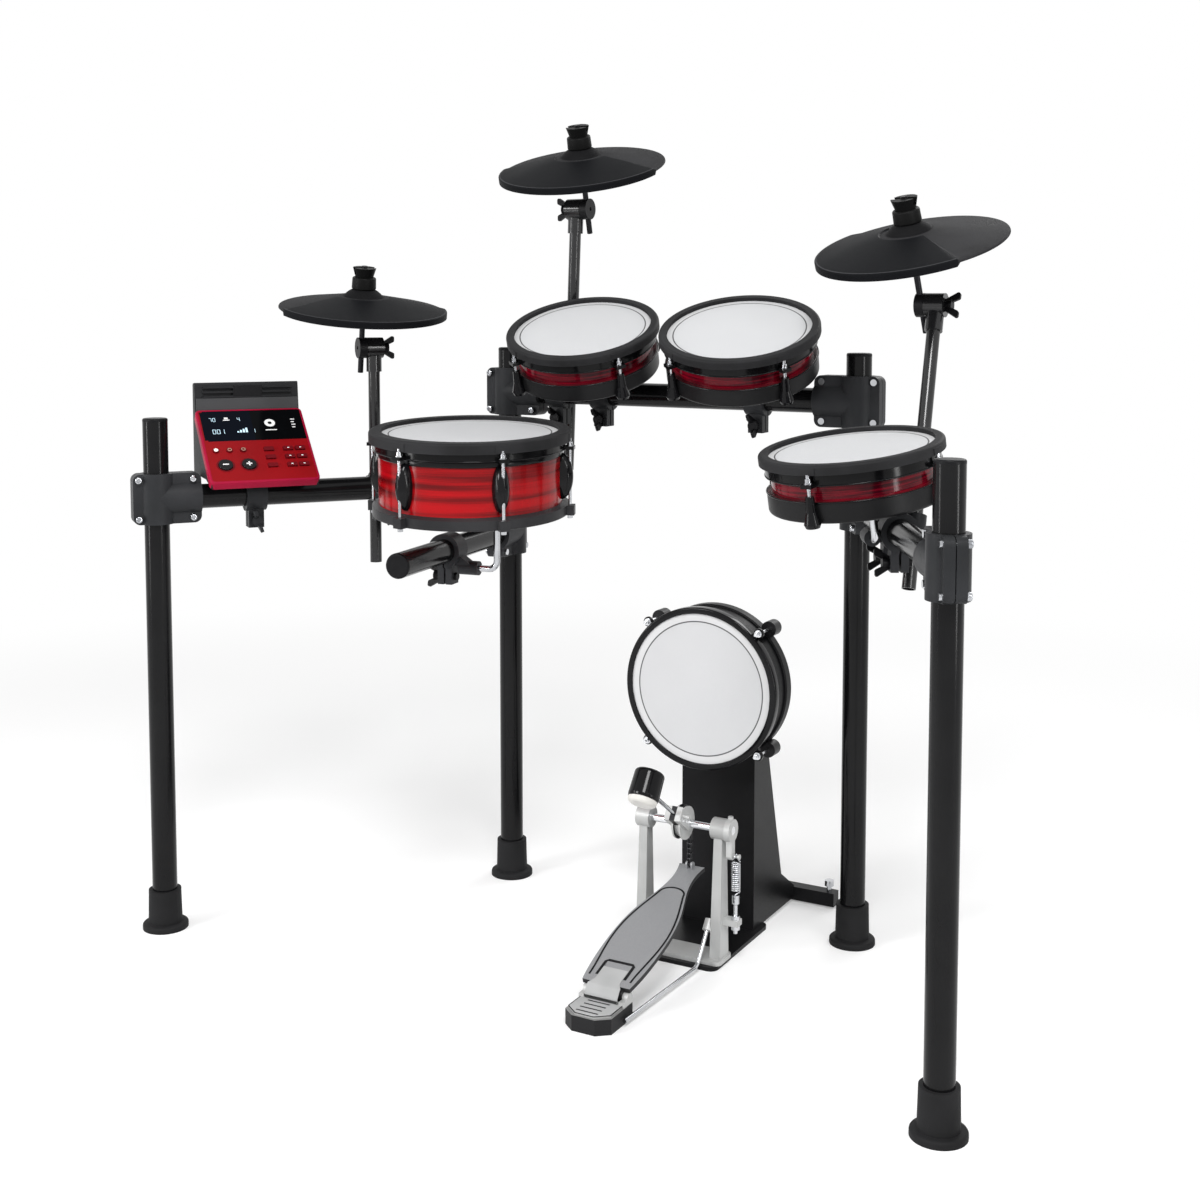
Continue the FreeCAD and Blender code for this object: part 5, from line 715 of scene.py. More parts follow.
def cymbal(name):
    """Top: a ball of 41 mm to the bell's foot, then a straight bow; the zone adds 2.5 mm and a lip at the
    edge. Underside: a ball of 36 mm, then a bow 9 to 4 mm below the top."""
    angle = circle(144)[:, None]
    flat = np.zeros_like(angle)
    off_zone = np.abs((angle + np.pi / 2 - ZONE_TURN[name] + np.pi) % (2 * np.pi) - np.pi)
    zone = 1 - smooth(ZONE_HALF - ZONE_FADE, ZONE_HALF + ZONE_FADE, off_zone)
    bell = np.linspace(HOLE, BELL, 10)
    bow = np.concatenate([np.linspace(BELL, ZONE_START - 0.001, 4)[1:],
                          np.linspace(ZONE_START, ZONE_START + 0.003, 5),
                          np.linspace(ZONE_START + 0.008, EDGE - 0.004, 14)])
    low_edge = FOOT - DROP
    top_edge = low_edge + THICK
    bow_top = SHOULDER + (top_edge - SHOULDER) * (bow - BELL) / (EDGE - BELL)
    raised = ZONE_STEP * smooth(ZONE_START, ZONE_START + ZONE_STEP, bow)[None] * zone
    turn = np.linspace(0, np.pi / 2, 6)
    lip_r = EDGE - LIP_ROUND + LIP_ROUND * np.sin(turn) + LIP_OUT * zone
    lip_z = top_edge - LIP_ROUND + LIP_ROUND * np.cos(turn) + ZONE_STEP * zone
    drop = low_edge - LIP_DROP * zone
    under_r = np.concatenate([EDGE + LIP_OUT * zone, EDGE - LIP_OUT + flat, EDGE - 0.006 + flat,
                              EDGE - 0.0068 + flat], 1)
    under_z = np.concatenate([drop + 0.001, drop, drop, low_edge + 0.0008 + flat], 1)
    low_bow = np.linspace(EDGE - 0.01, BELL, 8)
    low_bow_z = FOOT - DROP * (low_bow - BELL) / (EDGE - BELL)
    low_bell = bell[::-1]
    radius = np.concatenate([bell + flat, bow + flat, lip_r, under_r, low_bow + flat, low_bell + flat], 1)
    height = np.concatenate([np.sqrt(BALL_TOP ** 2 - bell ** 2) + flat, bow_top + raised, lip_z, under_z,
                             low_bow_z + flat, np.sqrt(BALL_UNDER ** 2 - low_bell ** 2) + flat], 1)
    made = piece(name + "_rubber_plate", SEATS[name].world(polar(radius, angle, height)), cymbal_rubber(name),
                 name + "_plate", round_rows=True, round_columns=True, sharp=30)
    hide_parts(name + "_cymbal")


for name in SEATS:
    cymbal(name)

# %% [markdown]
# ## Collars under the wing nuts
# Below each wing nut a soft collar presses on the cymbal's bell. It could be part of the nut, but it is wider
# and has a round shoulder, so it is a section of its own, spun about the rod. It rides with the rod and not
# with the cymbal, which rocks beneath it.

# %% One collar for each cymbal
collar_section = rounded([(0.0160, 0.0442), (0.0163, 0.0386), (0.0197, 0.0374), (0.0190, 0.0560),
                          (0.0147, 0.0572), (0.0147, 0.0443), (0.0158, 0.0443)],
                         [0, 0.0006, 0.0012, 0.0024, 0.0006, 0.0004, 0])
for name, seat in SEATS.items():
    spun(name + "_nut_collar", collar_section, seat, 72, nut_rubber, name + "_tilting_rod",
         closed=True)

# %% [markdown]
# ## Spring
# The spring is one wire: a hook, fourteen turns and another hook. A tube on a helix gives the coil, and a
# cubic curve joins it to the half circle of each hook. To stretch when the beater swings, it would blend from
# the frame to the beater's axle, and one blend would bow it, because every point turns about the axle by its
# share of the swing. So the wire is cut into five parts, and the shares at the two ends of each part that
# would keep the spring straight are worked out. They aren't applied, and each part stays where it is drawn,
# on no body.

# %% Wound spring
COIL_FOOT = 0.1139
COIL_RADIUS = 0.006
COIL_PITCH = 0.0031
COIL_TURNS = 14
COIL_LENGTH = COIL_TURNS * COIL_PITCH
SPRING_WIRE = 0.001
HOOK = 0.004
NECK = 0.008
HOOK_POINTS = 22
SPRING_X = 0.217
SWING = math.radians(64)
AXLE_Y, AXLE_Z = AXLE.origin[1:]
LOW_PIN = AXLE_Z - COIL_FOOT + NECK
HIGH_PIN = LOW_PIN - COIL_LENGTH - 2 * NECK
CUTS = np.array((0.075, 0.060, 0.0515))


def cubic(start, heading_start, end, heading_end, count=10):
    """A cubic between two points with given headings: the four Hermite weights times points and headings."""
    t = np.linspace(0, 1, count)[:, None]
    weights = (2 * t ** 3 - 3 * t ** 2 + 1, t ** 3 - 2 * t ** 2 + t, 3 * t ** 2 - 2 * t ** 3, t ** 3 - t ** 2)
    parts = (start, heading_start, end, heading_end)
    return sum(weight * np.asarray(part, float) for weight, part in zip(weights, parts))


def spring_path():
    """The helix x = r cos a, y = r sin a, z = p a / 2 pi, with the arc of a hook beyond each end."""
    angle = np.linspace(0, 2 * np.pi * COIL_TURNS, COIL_TURNS * 28)
    coil = polar(COIL_RADIUS, angle, COIL_PITCH * angle / (2 * np.pi))
    around = np.linspace(0, 1.1 * np.pi, 14)
    hook = np.stack([0 * around, HOOK * np.cos(around), COIL_LENGTH + NECK + HOOK * np.sin(around)], 1)
    rise = cubic(coil[-1], (0, 0.016, 0.002), hook[0], (0, 0, 0.012))
    upper = np.concatenate([rise[1:-1], hook])
    lower = upper * np.array([1, -1, -1]) + np.array([0, 0, COIL_LENGTH])
    return np.concatenate([lower[::-1], coil, upper])


def turned_share(below):
    """The share of the swing by which a point has to turn if the drawn spring stays straight: where the line
    from the lower pin to the swung upper pin cuts the circle of the point's distance below the axle."""
    swung = np.array((HIGH_PIN * math.sin(SWING), HIGH_PIN * math.cos(SWING) - LOW_PIN))
    a, b, c = swung @ swung, 2 * LOW_PIN * swung[1], LOW_PIN ** 2 - below ** 2
    along = (-b - math.sqrt(b * b - 4 * a * c)) / (2 * a)
    return min(1.0, math.atan2(swung[0] * along, LOW_PIN + swung[1] * along) / SWING)


def eased(share):
    """The place on a smooth step at which it has reached a given share."""
    return 0.5 - math.sin(math.asin(1 - 2 * share) / 3)


bright_steel = grained("bright_steel", (0.5, 0.51, 0.53), (0.66, 0.67, 0.69), 0.2, 0.16, 900, FINE, MID, 1.0)
path = spring_path() + np.array([SPRING_X, AXLE_Y, COIL_FOOT])
below = AXLE_Z - path[:, 2]
top = len(path) - HOOK_POINTS - 1
marks = [LOW_PIN, *CUTS, below[top], HIGH_PIN]
ends = [0, *(HOOK_POINTS + np.searchsorted(-below[HOOK_POINTS:top], -CUTS)), top, len(path) - 1]
for i in range(len(ends) - 1):
    wire = tube(path[ends[i]:ends[i + 1] + 1], SPRING_WIRE, 10)
    part = piece(f"spring_coil_{i + 1}", wire, bright_steel, None, round_columns=True)
    first, last = (eased(turned_share(mark)) for mark in marks[i:i + 2])
    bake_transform(part)
    if i == 0:
        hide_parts("pedal_spring")

# %% [markdown]
# ## Beater
# The beater is a chrome shaft, a black body and an end of pressed white wool. Shaft and body would be turned,
# and so they are here. The wool is turned too, with a rounder edge, and its fibres are only a bump, because
# they are far finer than any mesh.

# %% Shaft, body and felt
FELT_SEAM = -0.0165
FELT_GAP = 0.0002
HALF = 0.0255
WIDE = 0.0228
SHAFT_RADIUS = 0.003
SHAFT_START, SHAFT_END = 0.0195, 0.1465
HEAD = Place(SHAFT.world((0, 0, 0.147)), SHAFT.axes[1], (1, 0, 0))


def felt_finish():
    """Pressed wool: short fibres from stretched noise, and a soft sheen."""
    finish = Finish("beater_wool")
    point = finish.here()
    fibre = finish.noise(finish.stretch(point, 1.0, 3.0, 1.4), 900.0, 6.0, 0.75)
    tone = finish.noise(point, 60.0) * 0.6 + fibre * 0.4
    return finish.done(base_color=finish.mix(tone, (0.6, 0.58, 0.54), (0.82, 0.81, 0.78)),
                       roughness=0.92, sheen_weight=0.4, normal=finish.bump(fibre, 0.0004))


body_line = rounded([(0, FELT_SEAM), (WIDE - 0.0008, FELT_SEAM), (WIDE, FELT_SEAM + 0.004),
                     (WIDE - 0.0008, HALF), (0, HALF)], [0, 0.001, 0.003, 0.006, 0], 8)
felt_line = rounded([(0, -HALF), (WIDE - 0.0025, -HALF), (WIDE - 0.001, FELT_SEAM - FELT_GAP),
                     (0, FELT_SEAM - FELT_GAP)], [0, 0.007, 0.0006, 0], 10)
shaft_line = SHAFT.world(np.linspace(SHAFT_START, SHAFT_END, 12)[:, None] * np.array((0, 0, 1)))
shaft = piece("beater_shaft", tube(shaft_line, SHAFT_RADIUS, 20, (1, 0, 0)), chrome, "beater",
              round_columns=True)
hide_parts("pedal_beater")
spun("beater_body", body_line, HEAD, 64, black_gloss, "beater")
spun("beater_felt", felt_line, HEAD, 64, felt_finish(), "beater")

# %% [markdown]
# ## Marks on the sound module
# The display shows plain figures and signs, the mode buttons have a lit ring, and the two large buttons carry
# a minus and a plus. Each mark is a thin slab on its surface, because a slab keeps its edge at any distance
# and rides with the button it is printed on. Sizes on the panel are in millimetres.

# %% Figures, signs and rings
SEGMENTS = {"0": "abcdef", "1": "bc", "4": "fgbc", "7": "abc"}
BARS = {"a": (0.1, 1.84, 0.9, 2.0), "b": (0.84, 1.04, 1.0, 1.9), "c": (0.84, 0.1, 1.0, 0.96),
        "d": (0.1, 0.0, 0.9, 0.16), "e": (0.0, 0.1, 0.16, 0.96), "f": (0.0, 1.04, 0.16, 1.9),
        "g": (0.1, 0.92, 0.9, 1.08)}
PITCH = 1.35
ON_GLASS = (4.05, 4.3)
ON_KEYS = (6.5, 6.75)
MODE_X = (-66, -45, -24)
MODE_Y = -12
SIGN_X = {"minus": -56, "plus": -20}
SIGN_Y = -44


def figures(digits, x, y, size):
    """The bars of a seven-bar number: digits size wide and twice as high, from the lower left corner."""
    shift = np.array((1, 0, 1, 0)) * PITCH * size
    bars = [np.array(BARS[bar]) * size + shift * place + np.array((x, y, x, y))
            for place, digit in enumerate(digits) for bar in SEGMENTS[digit]]
    return np.array(bars)


def glow(name, colour, strength):
    """A lit print: faintly uneven light over a pale ink."""
    finish = Finish(name)
    grain = finish.noise(finish.here(), 1500.0)
    lit = finish.mix(grain, tuple(0.85 * c for c in colour), colour)
    return finish.done(base_color=lit, roughness=0.4 + 0.2 * grain, emission_color=lit,
                       emission_strength=strength)


def slabs(name, boxes, low, high, finish, body, slot, place=PANEL):
    """Flat bars given as x0, y0, x1, y1 in millimetres, each a box from low to high above the place."""
    boxes = np.asarray(boxes, float)
    flat = boxes[:, np.array([(0, 1), (2, 1), (2, 3), (0, 3)])]
    levels = [np.concatenate([flat, np.full(flat.shape[:2] + (1,), level)], -1) for level in (low, high)]
    points = place.world(np.concatenate(levels, 1) / 1000)
    sides = np.array([(3, 2, 1, 0), (4, 5, 6, 7), (0, 1, 5, 4), (1, 2, 6, 5), (2, 3, 7, 6), (3, 0, 4, 7)])
    faces = (np.arange(len(boxes))[:, None, None] * 8 + sides).reshape(-1, 4)
    return shaped(name, points, faces, finish, body)


def ring(name, x, y, inner, outer, low, high, finish, body, slot):
    """A flat ring: its rectangular section spun about a point of the panel. Sizes are in millimetres."""
    spot = Place(PANEL.world(np.array((x, y, 0)) / 1000), PANEL.axes[2], PANEL.axes[0])
    section = np.array([(inner, low), (outer, low), (outer, high), (inner, high)]) / 1000
    return spun(name, section, spot, 40, finish, body, closed=True)


figure_blue = glow("figure_blue", (0.55, 0.78, 0.9), 0.5)
print_white = glow("print_white", (0.8, 0.8, 0.8), 0.15)
lamp_white = glow("lamp_white", (0.95, 0.9, 0.85), 0.8)
ring_amber = glow("ring_amber", (0.5, 0.36, 0.26), 0.1)
meter = np.array([(-26 + 4.5 * i, 28, -23 + 4.5 * i, 31 + 2.4 * i) for i in range(4)])
numbers = [figures("70", -66, 54, 4.2), figures("4", -22, 54, 4.2), figures("001", -64, 26, 5),
           figures("1", -2, 27, 4.2), meter]
slabs("display_figures", np.concatenate(numbers), *ON_GLASS, figure_blue, "module", "display_black")
level = [(62, 36 + 6 * i, 62 + 5 + 1.5 * (i % 2), 38 + 6 * i) for i in range(4)]
signs = level + [(19, 31, 37, 33), (-44, 56, -34, 58), (-42, 59, -36, 63)]
slabs("display_signs", signs, *ON_GLASS, print_white, "module", "display_black")
ring("display_dial", 28, 48, 3.2, 8.5, *ON_GLASS, print_white, "module", "display_black")
for i, x in enumerate(MODE_X):
    inner, lit = (2.3, ring_amber) if i else (0.4, lamp_white)
    ring(f"mode_ring_{i + 1}", x, MODE_Y, inner, 3.2, *ON_KEYS, lit, "keys", "display_black")
for body, x in SIGN_X.items():
    bars = [(x - 4.5, SIGN_Y - 1.2, x + 4.5, SIGN_Y + 1.2)]
    if body == "plus":
        bars.append((x - 1.2, SIGN_Y - 4.5, x + 1.2, SIGN_Y + 4.5))
    slabs(body + "_sign", bars, 6.5, 6.8, print_white, body, "display_black")
    ring(body + "_well", x, SIGN_Y, 11.5, 14.0, 3.9, 4.25, key_red, "module", "module_red")
dots = [(x - 1.5, y - 0.8, x + 1.5, y + 0.8) for x in (46, 65) for y in (-12, -30, -48)]
slabs("key_signs", dots, *ON_KEYS, print_white, "keys", "display_black")

# %% [markdown]
# ## Skirt of the panel and band of the case
# The red panel is a shallow moulded tray whose rim wraps round the case, with rounded corners. It could be a
# box with bevels, but its rim leans a little outwards, so a section is carried round a rounded outline. The
# glass lies on a black mask. The band and the middle plate of the case are flat, and slabs are enough there.

# %% Red skirt, mask, band and plate
WIDE_HALF, TALL_HALF = 0.0825, 0.080
CORNER = 0.006
BACKREST = Place((-0.53861, -0.14592, 0.679), (0.801, -0.5986, 0.0), (0.5986, 0.801, 0.0))


def loop(corners, radius, steps=6):
    """A closed outline with rounded corners: it starts and ends in the middle of its last side."""
    corners = np.asarray(corners, float)
    middle = (corners[0] + corners[-1]) / 2
    outline = np.concatenate([[middle], corners, [middle]])
    return rounded(outline, [0] + [radius] * len(corners) + [0], steps)[:-1]


def outward(path):
    """Unit normals of an anticlockwise closed outline: its heading turned by a quarter to the right."""
    heading = unit(np.roll(path, -1, 0) - np.roll(path, 1, 0))
    return np.stack([heading[:, 1], -heading[:, 0]], 1)


corners = np.array([(1, -1), (1, 1), (-1, 1), (-1, -1)])
edge = loop(corners * np.array((WIDE_HALF, TALL_HALF)), CORNER)
section = np.array([(-0.0018, 0.0036), (-0.0003, -0.009), (0.0019, -0.009), (0.0019, 0.0026),
                    (0.0012, 0.0040), (0.0, 0.0044), (-0.0018, 0.0043)])
flat = edge[:, None] + outward(edge)[:, None] * section[None, :, :1]
height = np.broadcast_to(section[None, :, 1:], flat[..., :1].shape)
skirt_red = panel_finish("skirt_red", (0.27, 0.003, 0.024), (0.35, 0.005, 0.036), 0.35)
piece("module_skirt", PANEL.world(np.concatenate([flat, height], -1)), skirt_red, "module",
      round_rows=True, round_columns=True, sharp=50)
band_grey = grained("band_grey", (0.05, 0.051, 0.053), (0.066, 0.067, 0.07), 0.5, scale=1700)
slabs("display_mask", [(-74, 9.5, 80.4, 78)], 3.6, 4.03, display_glass, "module", "display_black")
slabs("case_band", [(-81, 128.6, 81, 149.6)], -43.0, -40.2, band_grey, "module", "module_grey", BACKREST)
slabs("case_middle_plate", [(-23, 152.5, 23, 169.5)], -42.5, -39.9, black_plastic, "module", "black_plastic",
      BACKREST)

# %% [markdown]
# ## Tread of the heel and cover of the hinge
# The heel of a pedal carries a metal tread, and a bent strip covers the hinge between heel and board. The
# tread is a convex outline whose rows run from its middle underneath to its middle on top, over a bevel. The
# strip has to follow the bend, so its section is carried along a path in the board's upright plane.

# %% Heel tread and hinge cover
HEEL = Place((0.130, 0.0, 0.0), (0, 0, 1))
TREAD_LOW, TREAD_TOP, TREAD_BEVEL = 0.0246, 0.0259, 0.0006
COVER_HALF, COVER_FLARE, COVER_THICK = 0.0195, 0.006, 0.0009


def plate(path, low, high, bevel):
    """A convex plate: from its middle out along the underside, up the edge, over a bevel and back."""
    middle = path.mean(0) + 0 * path
    inner = path - outward(path) * bevel
    rows = [(middle, low), (path, low), (path, high - bevel), (inner, high), (middle, high)]
    return np.stack([np.concatenate([flat, np.full((len(path), 1), level)], 1) for flat, level in rows], 1)


def apron(path, half, thick):
    """A strip over the hinge: a path in the board's upright plane, with its own half width at each point."""
    heading = unit(np.gradient(path, axis=0))
    normal = np.stack([-heading[:, 1], heading[:, 0]], 1) * thick / 2
    half = half.copy()
    half[[0, -1]] = 0.0
    sides = [(-1, -1), (-1, 1), (1, 1), (1, -1)]
    flat = [np.concatenate([(side * half)[:, None], path + face * normal], 1) for side, face in sides]
    return BOARD.world(np.stack(flat, 1))


heel_edge = loop([(0.014, -0.2659), (0.032, -0.2515), (0.032, -0.2130), (-0.032, -0.2130), (-0.032, -0.2515),
                  (-0.014, -0.2659)], 0.003)
heel_silver = grained("heel_silver", (0.36, 0.365, 0.365), (0.46, 0.465, 0.465), 0.6, 0.16, 1300, 0.00008)
piece("heel_tread", HEEL.world(plate(heel_edge, TREAD_LOW, TREAD_TOP, TREAD_BEVEL)), heel_silver, "rack",
      round_rows=True)
bend = rounded([(0.0405, 0.0163), (-0.006, 0.0163), (-0.0165, 0.0085), (-0.0185, 0.0018)],
               [0, 0.008, 0.008, 0], 8)
bend = np.concatenate([bend[:1], np.linspace(bend[0], bend[1], 6), bend[2:], bend[-1:]])
cover_half = COVER_HALF + COVER_FLARE * smooth(0.004, -0.006, bend[:, 0])
piece("hinge_cover", apron(bend, cover_half, COVER_THICK), heel_silver, "footboard",
      round_columns=True, sharp=50)

# %% [markdown]
# ## Lines on the footboard and the heel
# A dark line runs round the footboard's belly, with a bracket at its heel end, and another runs round the
# tread. Each is a flat ribbon laid on its plate: a path, and a narrow section carried along it. A painted
# line would do from afar, but a ribbon stays sharp close by. The grooves of the tread are slabs.

# %% Ribbons and grooves
BOARD_LENGTH = 0.28256
SHARES = np.array((0.0, 0.3, 0.58, 0.87, 1.0))
HALF_WIDTHS = np.array((0.037, 0.044, 0.03696, 0.017, 0.021))
board_curve = np.polyfit(SHARES, HALF_WIDTHS, 4)
RIBBON_TOP, RIBBON_FOOT = 0.0003, -0.0002
GROOVES = (-260, -249, -238, -227)


def ribbon(path, width, closed=False, place=BOARD, top=BOARD_TOP):
    """A flat ribbon on a plate: the path plus and minus half its width along the path's own normal."""
    heading = unit(np.roll(path, -1, 0) - np.roll(path, 1, 0) if closed else np.gradient(path, axis=0))
    side = np.stack([-heading[:, 1], heading[:, 0]], 1) * width / 2
    flat = np.stack([path - side, path - side, path + side, path + side], 1)
    height = np.array((RIBBON_FOOT, RIBBON_TOP, RIBBON_TOP, RIBBON_FOOT))
    height = np.broadcast_to(top + height, flat.shape[:2])
    return place.world(np.concatenate([flat, height[..., None]], -1))


def belly_line(inset, low, high):
    """The board's edge drawn in by inset between two shares of its length, closed by half an ellipse."""
    share = np.linspace(low, high, 40)
    half = np.polyval(board_curve, share) - inset
    angle = np.linspace(0, np.pi, 24)[1:-1]
    cap = np.stack([half[-1] * np.cos(angle), BOARD_LENGTH * high + half[-1] * 0.75 * np.sin(angle)], 1)
    right = np.stack([half, share * BOARD_LENGTH], 1)
    return np.concatenate([right, cap, right[::-1] * np.array((-1, 1))])


inlay_black = grained("inlay_black", (0.006, 0.006, 0.007), (0.012, 0.012, 0.013), 0.5, depth=0.00008)
left = np.array([(-0.022, 0.014), (-0.022, 0.043), (-0.019, 0.046)])
bracket = np.concatenate([left, left[::-1] * np.array((-1, 1))])
belly = belly_line(0.0045, 0.04, 0.74)
lines = {"footboard_outline": (belly, 0.0028), "footboard_bracket": (bracket, 0.0045)}
for name, (line, width) in lines.items():
    piece(name, ribbon(line, width), inlay_black, "footboard", round_columns=True, sharp=60)
slabs("heel_grooves", [(-17, y, 17, y + 2.6) for y in GROOVES], 25.5, 26.1, inlay_black, "rack",
      "black_plastic", HEEL)
heel_line = heel_edge + outward(heel_edge) * 0.0007
piece("heel_outline", ribbon(heel_line, 0.0017, True, HEEL, 0.025), inlay_black, "rack",
      round_rows=True, round_columns=True, sharp=60)

# %% [markdown]
# ## Collar of the snare
# The snare's hoop ends in a rounded black collar above the red film. It is one section spun about the pad,
# and its two outer corners are rounded so that they catch a thin line of light.

# %% Collar under the snare's hoop
SHELL = RIMS["snare"] - 0.0134
COLLAR_TOP = -0.0283
inside, outside = SHELL - 0.0005, SHELL + 0.0024
section = rounded([(inside, COLLAR_FOOT), (outside, COLLAR_FOOT), (outside, COLLAR_TOP),
                   (inside, COLLAR_TOP)], [0, 0.002, 0.002, 0], 8)
spun("snare_collar", section, PADS["snare"], PAD_STEPS, black_gloss, "snare", closed=True)

# %% [markdown]
# ## Beads and moulded pads of the rims
# A rolled edge on the hoop and on the base ring catches the light as a thin line, so each is a bead: a small
# circle spun about the pad. The rubber is thickened where a tension rod passes, which is a short arc of a
# rounded section.

# %% Beads and pads
LUGS = {"snare": (6, 21.5), "tom_1": (4, -126.0), "tom_2": (4, -126.0), "floor_tom": (4, -186.6)}
HOOP_FOOT = -0.028
BEAD = 0.0011
BASE_INSET = 0.0064
PAD_WIDTH = 0.021
PAD_IN, PAD_OUT = -0.001, 0.0009
PAD_LIFT, PAD_TOP = 0.0004, -0.0035


def bead(radius, height):
    """A circle of the bead's size about (radius, height), as a section to spin."""
    return polar(BEAD, circle(10))[:, :2] + np.array((radius, height))


def rim_pad(place, middle, rim, foot):
    """A section from the rubber's foot to its shoulder, swept over an arc; its ends shrink to a point."""
    inside, outside, low = rim + PAD_IN, rim + PAD_OUT, foot + PAD_LIFT
    section = rounded([(inside, low), (outside, low), (outside, PAD_TOP), (inside, PAD_TOP)],
                      [0, 0.0007, 0.0007, 0], 4)
    half = PAD_WIDTH / rim / 2
    angle = middle + np.array((-half, *np.linspace(-half, half, 8), half))
    share = np.ones(len(angle))
    share[[0, -1]] = 0.0
    flat = section.mean(0) + (section - section.mean(0))[None] * share[:, None, None]
    return place.world(polar(flat[..., 0], angle[:, None], flat[..., 1]))


for name, (count, first) in LUGS.items():
    rim = RIMS[name]
    angles = np.radians(first + 360 / count * np.arange(count))
    pads = [rim_pad(PADS[name], angle, rim, -2 * rim * RUBBER_SHARE) for angle in angles]
    repeated(name + "_rim_pads", pads, rim_rubber[name], name, round_columns=True)
    spun(name + "_hoop_bead", bead(rim - HOOP_INSET, HOOP_FOOT + 0.0008), PADS[name], PAD_STEPS, black_gloss,
         name, closed=True)
for name in TOMS:
    spun(name + "_base_bead", bead(RIMS[name] - BASE_INSET, RING_TOP - 0.0009), PADS[name], PAD_STEPS,
         black_gloss, name, closed=True)

# %% [markdown]
# ## Bolt heads of the rack
# The clamps are drawn together by button-head bolts with a hexagon socket. One head is worked out as a grid:
# the outer rows are circles, and the rows of the socket follow a hexagon, whose radius is its half width over
# the cosine of the angle to the nearest flat. The same head then sits on every bolt.

# %% Button heads with a socket
POSTS = {"rear_left": (-0.280, 0.20012), "rear_right": (0.337, 0.20012), "front_left": (-0.629, -0.26688),
         "front_right": (0.629, -0.29588), "arm_end": (-0.219, -0.20488)}
REAR_BAR, SIDE_BAR, SNARE_ARM = 0.832, 0.679, 0.597
JOINS = [("rear_left", "rear_right", REAR_BAR), ("rear_right", "rear_left", REAR_BAR),
         ("front_left", "rear_left", SIDE_BAR), ("rear_left", "front_left", SIDE_BAR),
         ("rear_right", "front_right", SIDE_BAR), ("front_right", "rear_right", SIDE_BAR),
         ("rear_left", "arm_end", SNARE_ARM)]
BOLT_REACHES = (-0.029, 0.053)
BOLT_RISE = 0.030
CLAMP_FACE = 0.019
HEAD_RADIUS = 0.0052
HEAD_SKIRT = -0.0045
DOME = 0.0016
SOCKET = 0.0024
SOCKET_RIM, SOCKET_FLOOR = 0.0013, 0.0002


def button_head():
    """Rows of (radius, height) from the head's skirt over its dome into the socket and to its middle."""
    angle = circle(36)
    flat = (angle + np.pi / 6) % (np.pi / 3) - np.pi / 6
    hexagon = SOCKET / np.cos(flat)
    rows = [(0.0, HEAD_SKIRT), (HEAD_RADIUS, HEAD_SKIRT), (HEAD_RADIUS, 0.0)]
    rows += [(HEAD_RADIUS * (0.64 + 0.36 * math.cos(lift)), DOME * math.sin(lift))
             for lift in np.linspace(0.15, 1.25, 5)]
    rows += [(hexagon * 1.12, DOME), (hexagon, SOCKET_RIM), (hexagon, SOCKET_FLOOR), (0.0, SOCKET_FLOOR)]
    return np.stack([polar(radius, angle, height) for radius, height in rows], 1)


def bolt_places():
    """The outer end of each bolt, square to the plane of its two tubes."""
    for start, end, height in JOINS:
        origin = np.array((*POSTS[start], height))
        along = unit((*np.subtract(POSTS[end], POSTS[start]), 0.0))
        across = np.array((-along[1], along[0], 0.0))
        for reach in BOLT_REACHES:
            for rise in (-BOLT_RISE, BOLT_RISE):
                spot = origin + along * reach - across * CLAMP_FACE + np.array((0, 0, rise))
                yield Place(spot, -across, (0, 0, 1))


bolt_chrome = grained("bolt_chrome", (0.3, 0.31, 0.33), (0.55, 0.56, 0.58), 0.14, 0.16, 900, FINE, MID, 1.0)
repeated("clamp_bolt_heads", [place.world(button_head()) for place in bolt_places()], bolt_chrome, "rack",
         round_rows=True, sharp=35)

# %% [markdown]
# ## Camera
# The photograph was taken with a nearly level camera well to the player's right, so the posts stand almost
# upright in the picture. A small shift of the lens keeps them so, which a steeper camera would not.

# %% Photo camera
PITCH_DOWN = math.radians(4.5)
YAW = math.radians(0.462)
SENSOR = 36.0
PHOTO_PIXELS = 1200
FOCAL_PIXELS = 1612.992
SHIFT = -0.14353
ahead = unit((-0.4815, 0.877, 0.0))
right = unit((0.877, 0.4815, 0.0))
heading = ahead * math.cos(YAW) - right * math.sin(YAW)
look = heading * math.cos(PITCH_DOWN) - np.array((0, 0, math.sin(PITCH_DOWN)))
view = Place((1.17512, -2.09028, 0.98257), -look, right * math.cos(YAW) + ahead * math.sin(YAW))
lens = bpy.data.cameras.new("photo_lens")
lens.sensor_width = SENSOR
lens.lens = SENSOR * FOCAL_PIXELS / PHOTO_PIXELS
lens.shift_y = SHIFT
camera = bpy.data.objects.new("photo_camera", lens)
camera.matrix_world = view.matrix()
bpy.context.scene.collection.objects.link(camera)
bpy.context.scene.camera = camera
print("camera at", view.origin.round(3))

# %% [markdown]
# ## Floor and light
# The light is soft and comes from all round, and the floor only shows the shadows: it glows for the camera,
# more so far out, where it meets the backdrop. Three boxes shape the pads, and two tall strips draw the long
# highlights on the tubes.

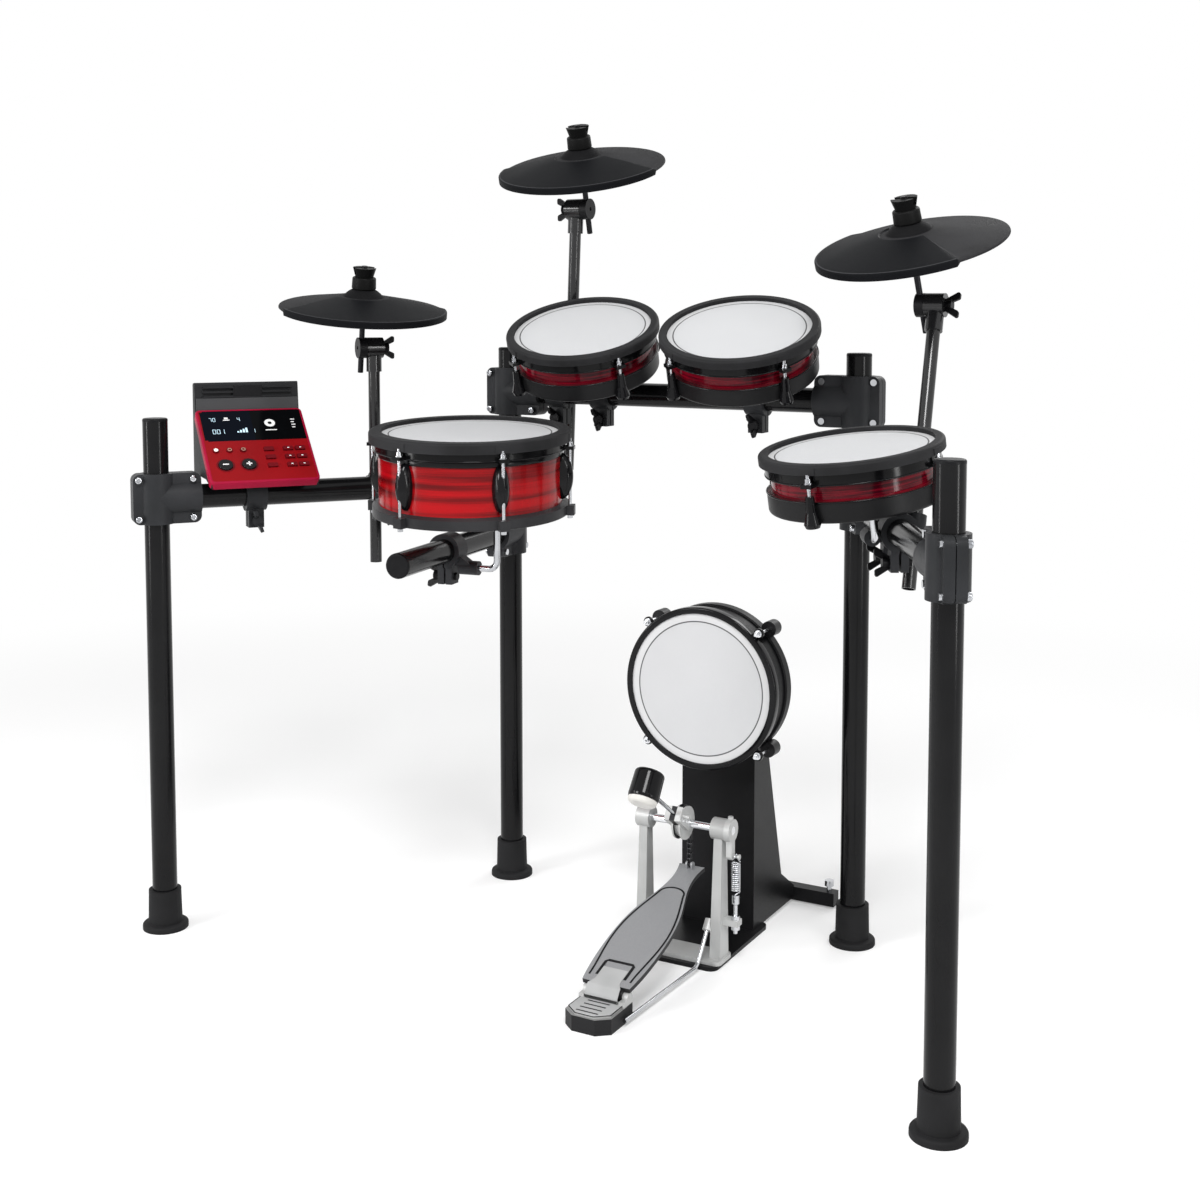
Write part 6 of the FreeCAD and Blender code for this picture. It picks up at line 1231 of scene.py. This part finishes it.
# %% Floor, lamps and world
WHITE, BLACK = (1.0, 1.0, 1.0), (0.0, 0.0, 0.0)
ROOM = (0.45, 0.45, 0.45)
FLOOR_REACH = 12.0
FADE_START, FADE_END = 1.3, 3.0
LAMPS = {
    "key_box": ((1.2, -2.0, 3.1), 0.5, (1.0, 1.0), 70.0),
    "fill_box": ((-1.5, -2.8, 1.7), 0.7, (0.8, 0.8), 38.0),
    "back_box": ((0.5, 2.6, 2.6), 0.7, (1.4, 1.4), 26.0),
    "left_strip": ((-2.3, -1.9, 1.1), 1.0, (0.22, 2.2), 20.0),
    "right_strip": ((2.5, -1.0, 1.1), 1.0, (0.22, 2.2), 20.0),
}


def looked_at(finish):
    """1 for rays from the camera, from glossy and from clear things; 0 for the rest."""
    kinds = ("Is Camera Ray", "Is Glossy Ray", "Is Transmission Ray")
    first, second, third = (finish.node("LightPath", output=kind) for kind in kinds)
    return finish.node("Math", {"operation": "MINIMUM"}, {0: first + second + third, 1: 1.0})


def floor_finish():
    """Pale paint, with the backdrop's white added for rays from the camera and from shiny or clear things."""
    finish = Finish("studio_floor")
    far = finish.step(away(finish, finish.here()), FADE_START, FADE_END)
    unseen, seen = finish.mix(far, BLACK, ROOM), finish.mix(far, (0.25, 0.25, 0.25), WHITE)
    return finish.done(base_color=finish.mix(far, (0.8, 0.8, 0.8), BLACK), roughness=0.9,
                       specular_ior_level=0.0, emission_strength=1.0,
                       emission_color=finish.mix(looked_at(finish), unseen, seen))


def softbox(name, origin, aim, size, power):
    """An area lamp of a width and a height that faces a point above the middle of the floor."""
    lamp = bpy.data.lights.new(name, "AREA")
    lamp.shape = "RECTANGLE"
    lamp.size, lamp.size_y = size
    lamp.energy = power
    made = bpy.data.objects.new(name, lamp)
    made.matrix_world = Place(origin, np.subtract(origin, (0, 0, aim)), (0.9, 0.1, 0.3)).matrix()
    bpy.context.scene.collection.objects.link(made)


mesh = bpy.data.meshes.new("studio_floor")
corners = [(-1, -1, 0), (1, -1, 0), (1, 1, 0), (-1, 1, 0)]
mesh.from_pydata((FLOOR_REACH * np.array(corners)).tolist(), [], [(0, 1, 2, 3)])
mesh.materials.append(floor_finish())
floor = bpy.data.objects.new("studio_floor", mesh)
bpy.context.scene.collection.objects.link(floor)
for name, settings in LAMPS.items():
    softbox(name, *settings)
world = bpy.data.worlds.new("studio_world")
world.use_nodes = True
bpy.context.scene.world = world
sky = Finish("studio_world", world)
sky.join(world.node_tree.nodes["Background"].inputs["Color"], sky.mix(looked_at(sky), ROOM, WHITE))
bpy.context.scene.view_settings.view_transform = "Standard"
print("floor,", len(LAMPS), "lamps and a white world")
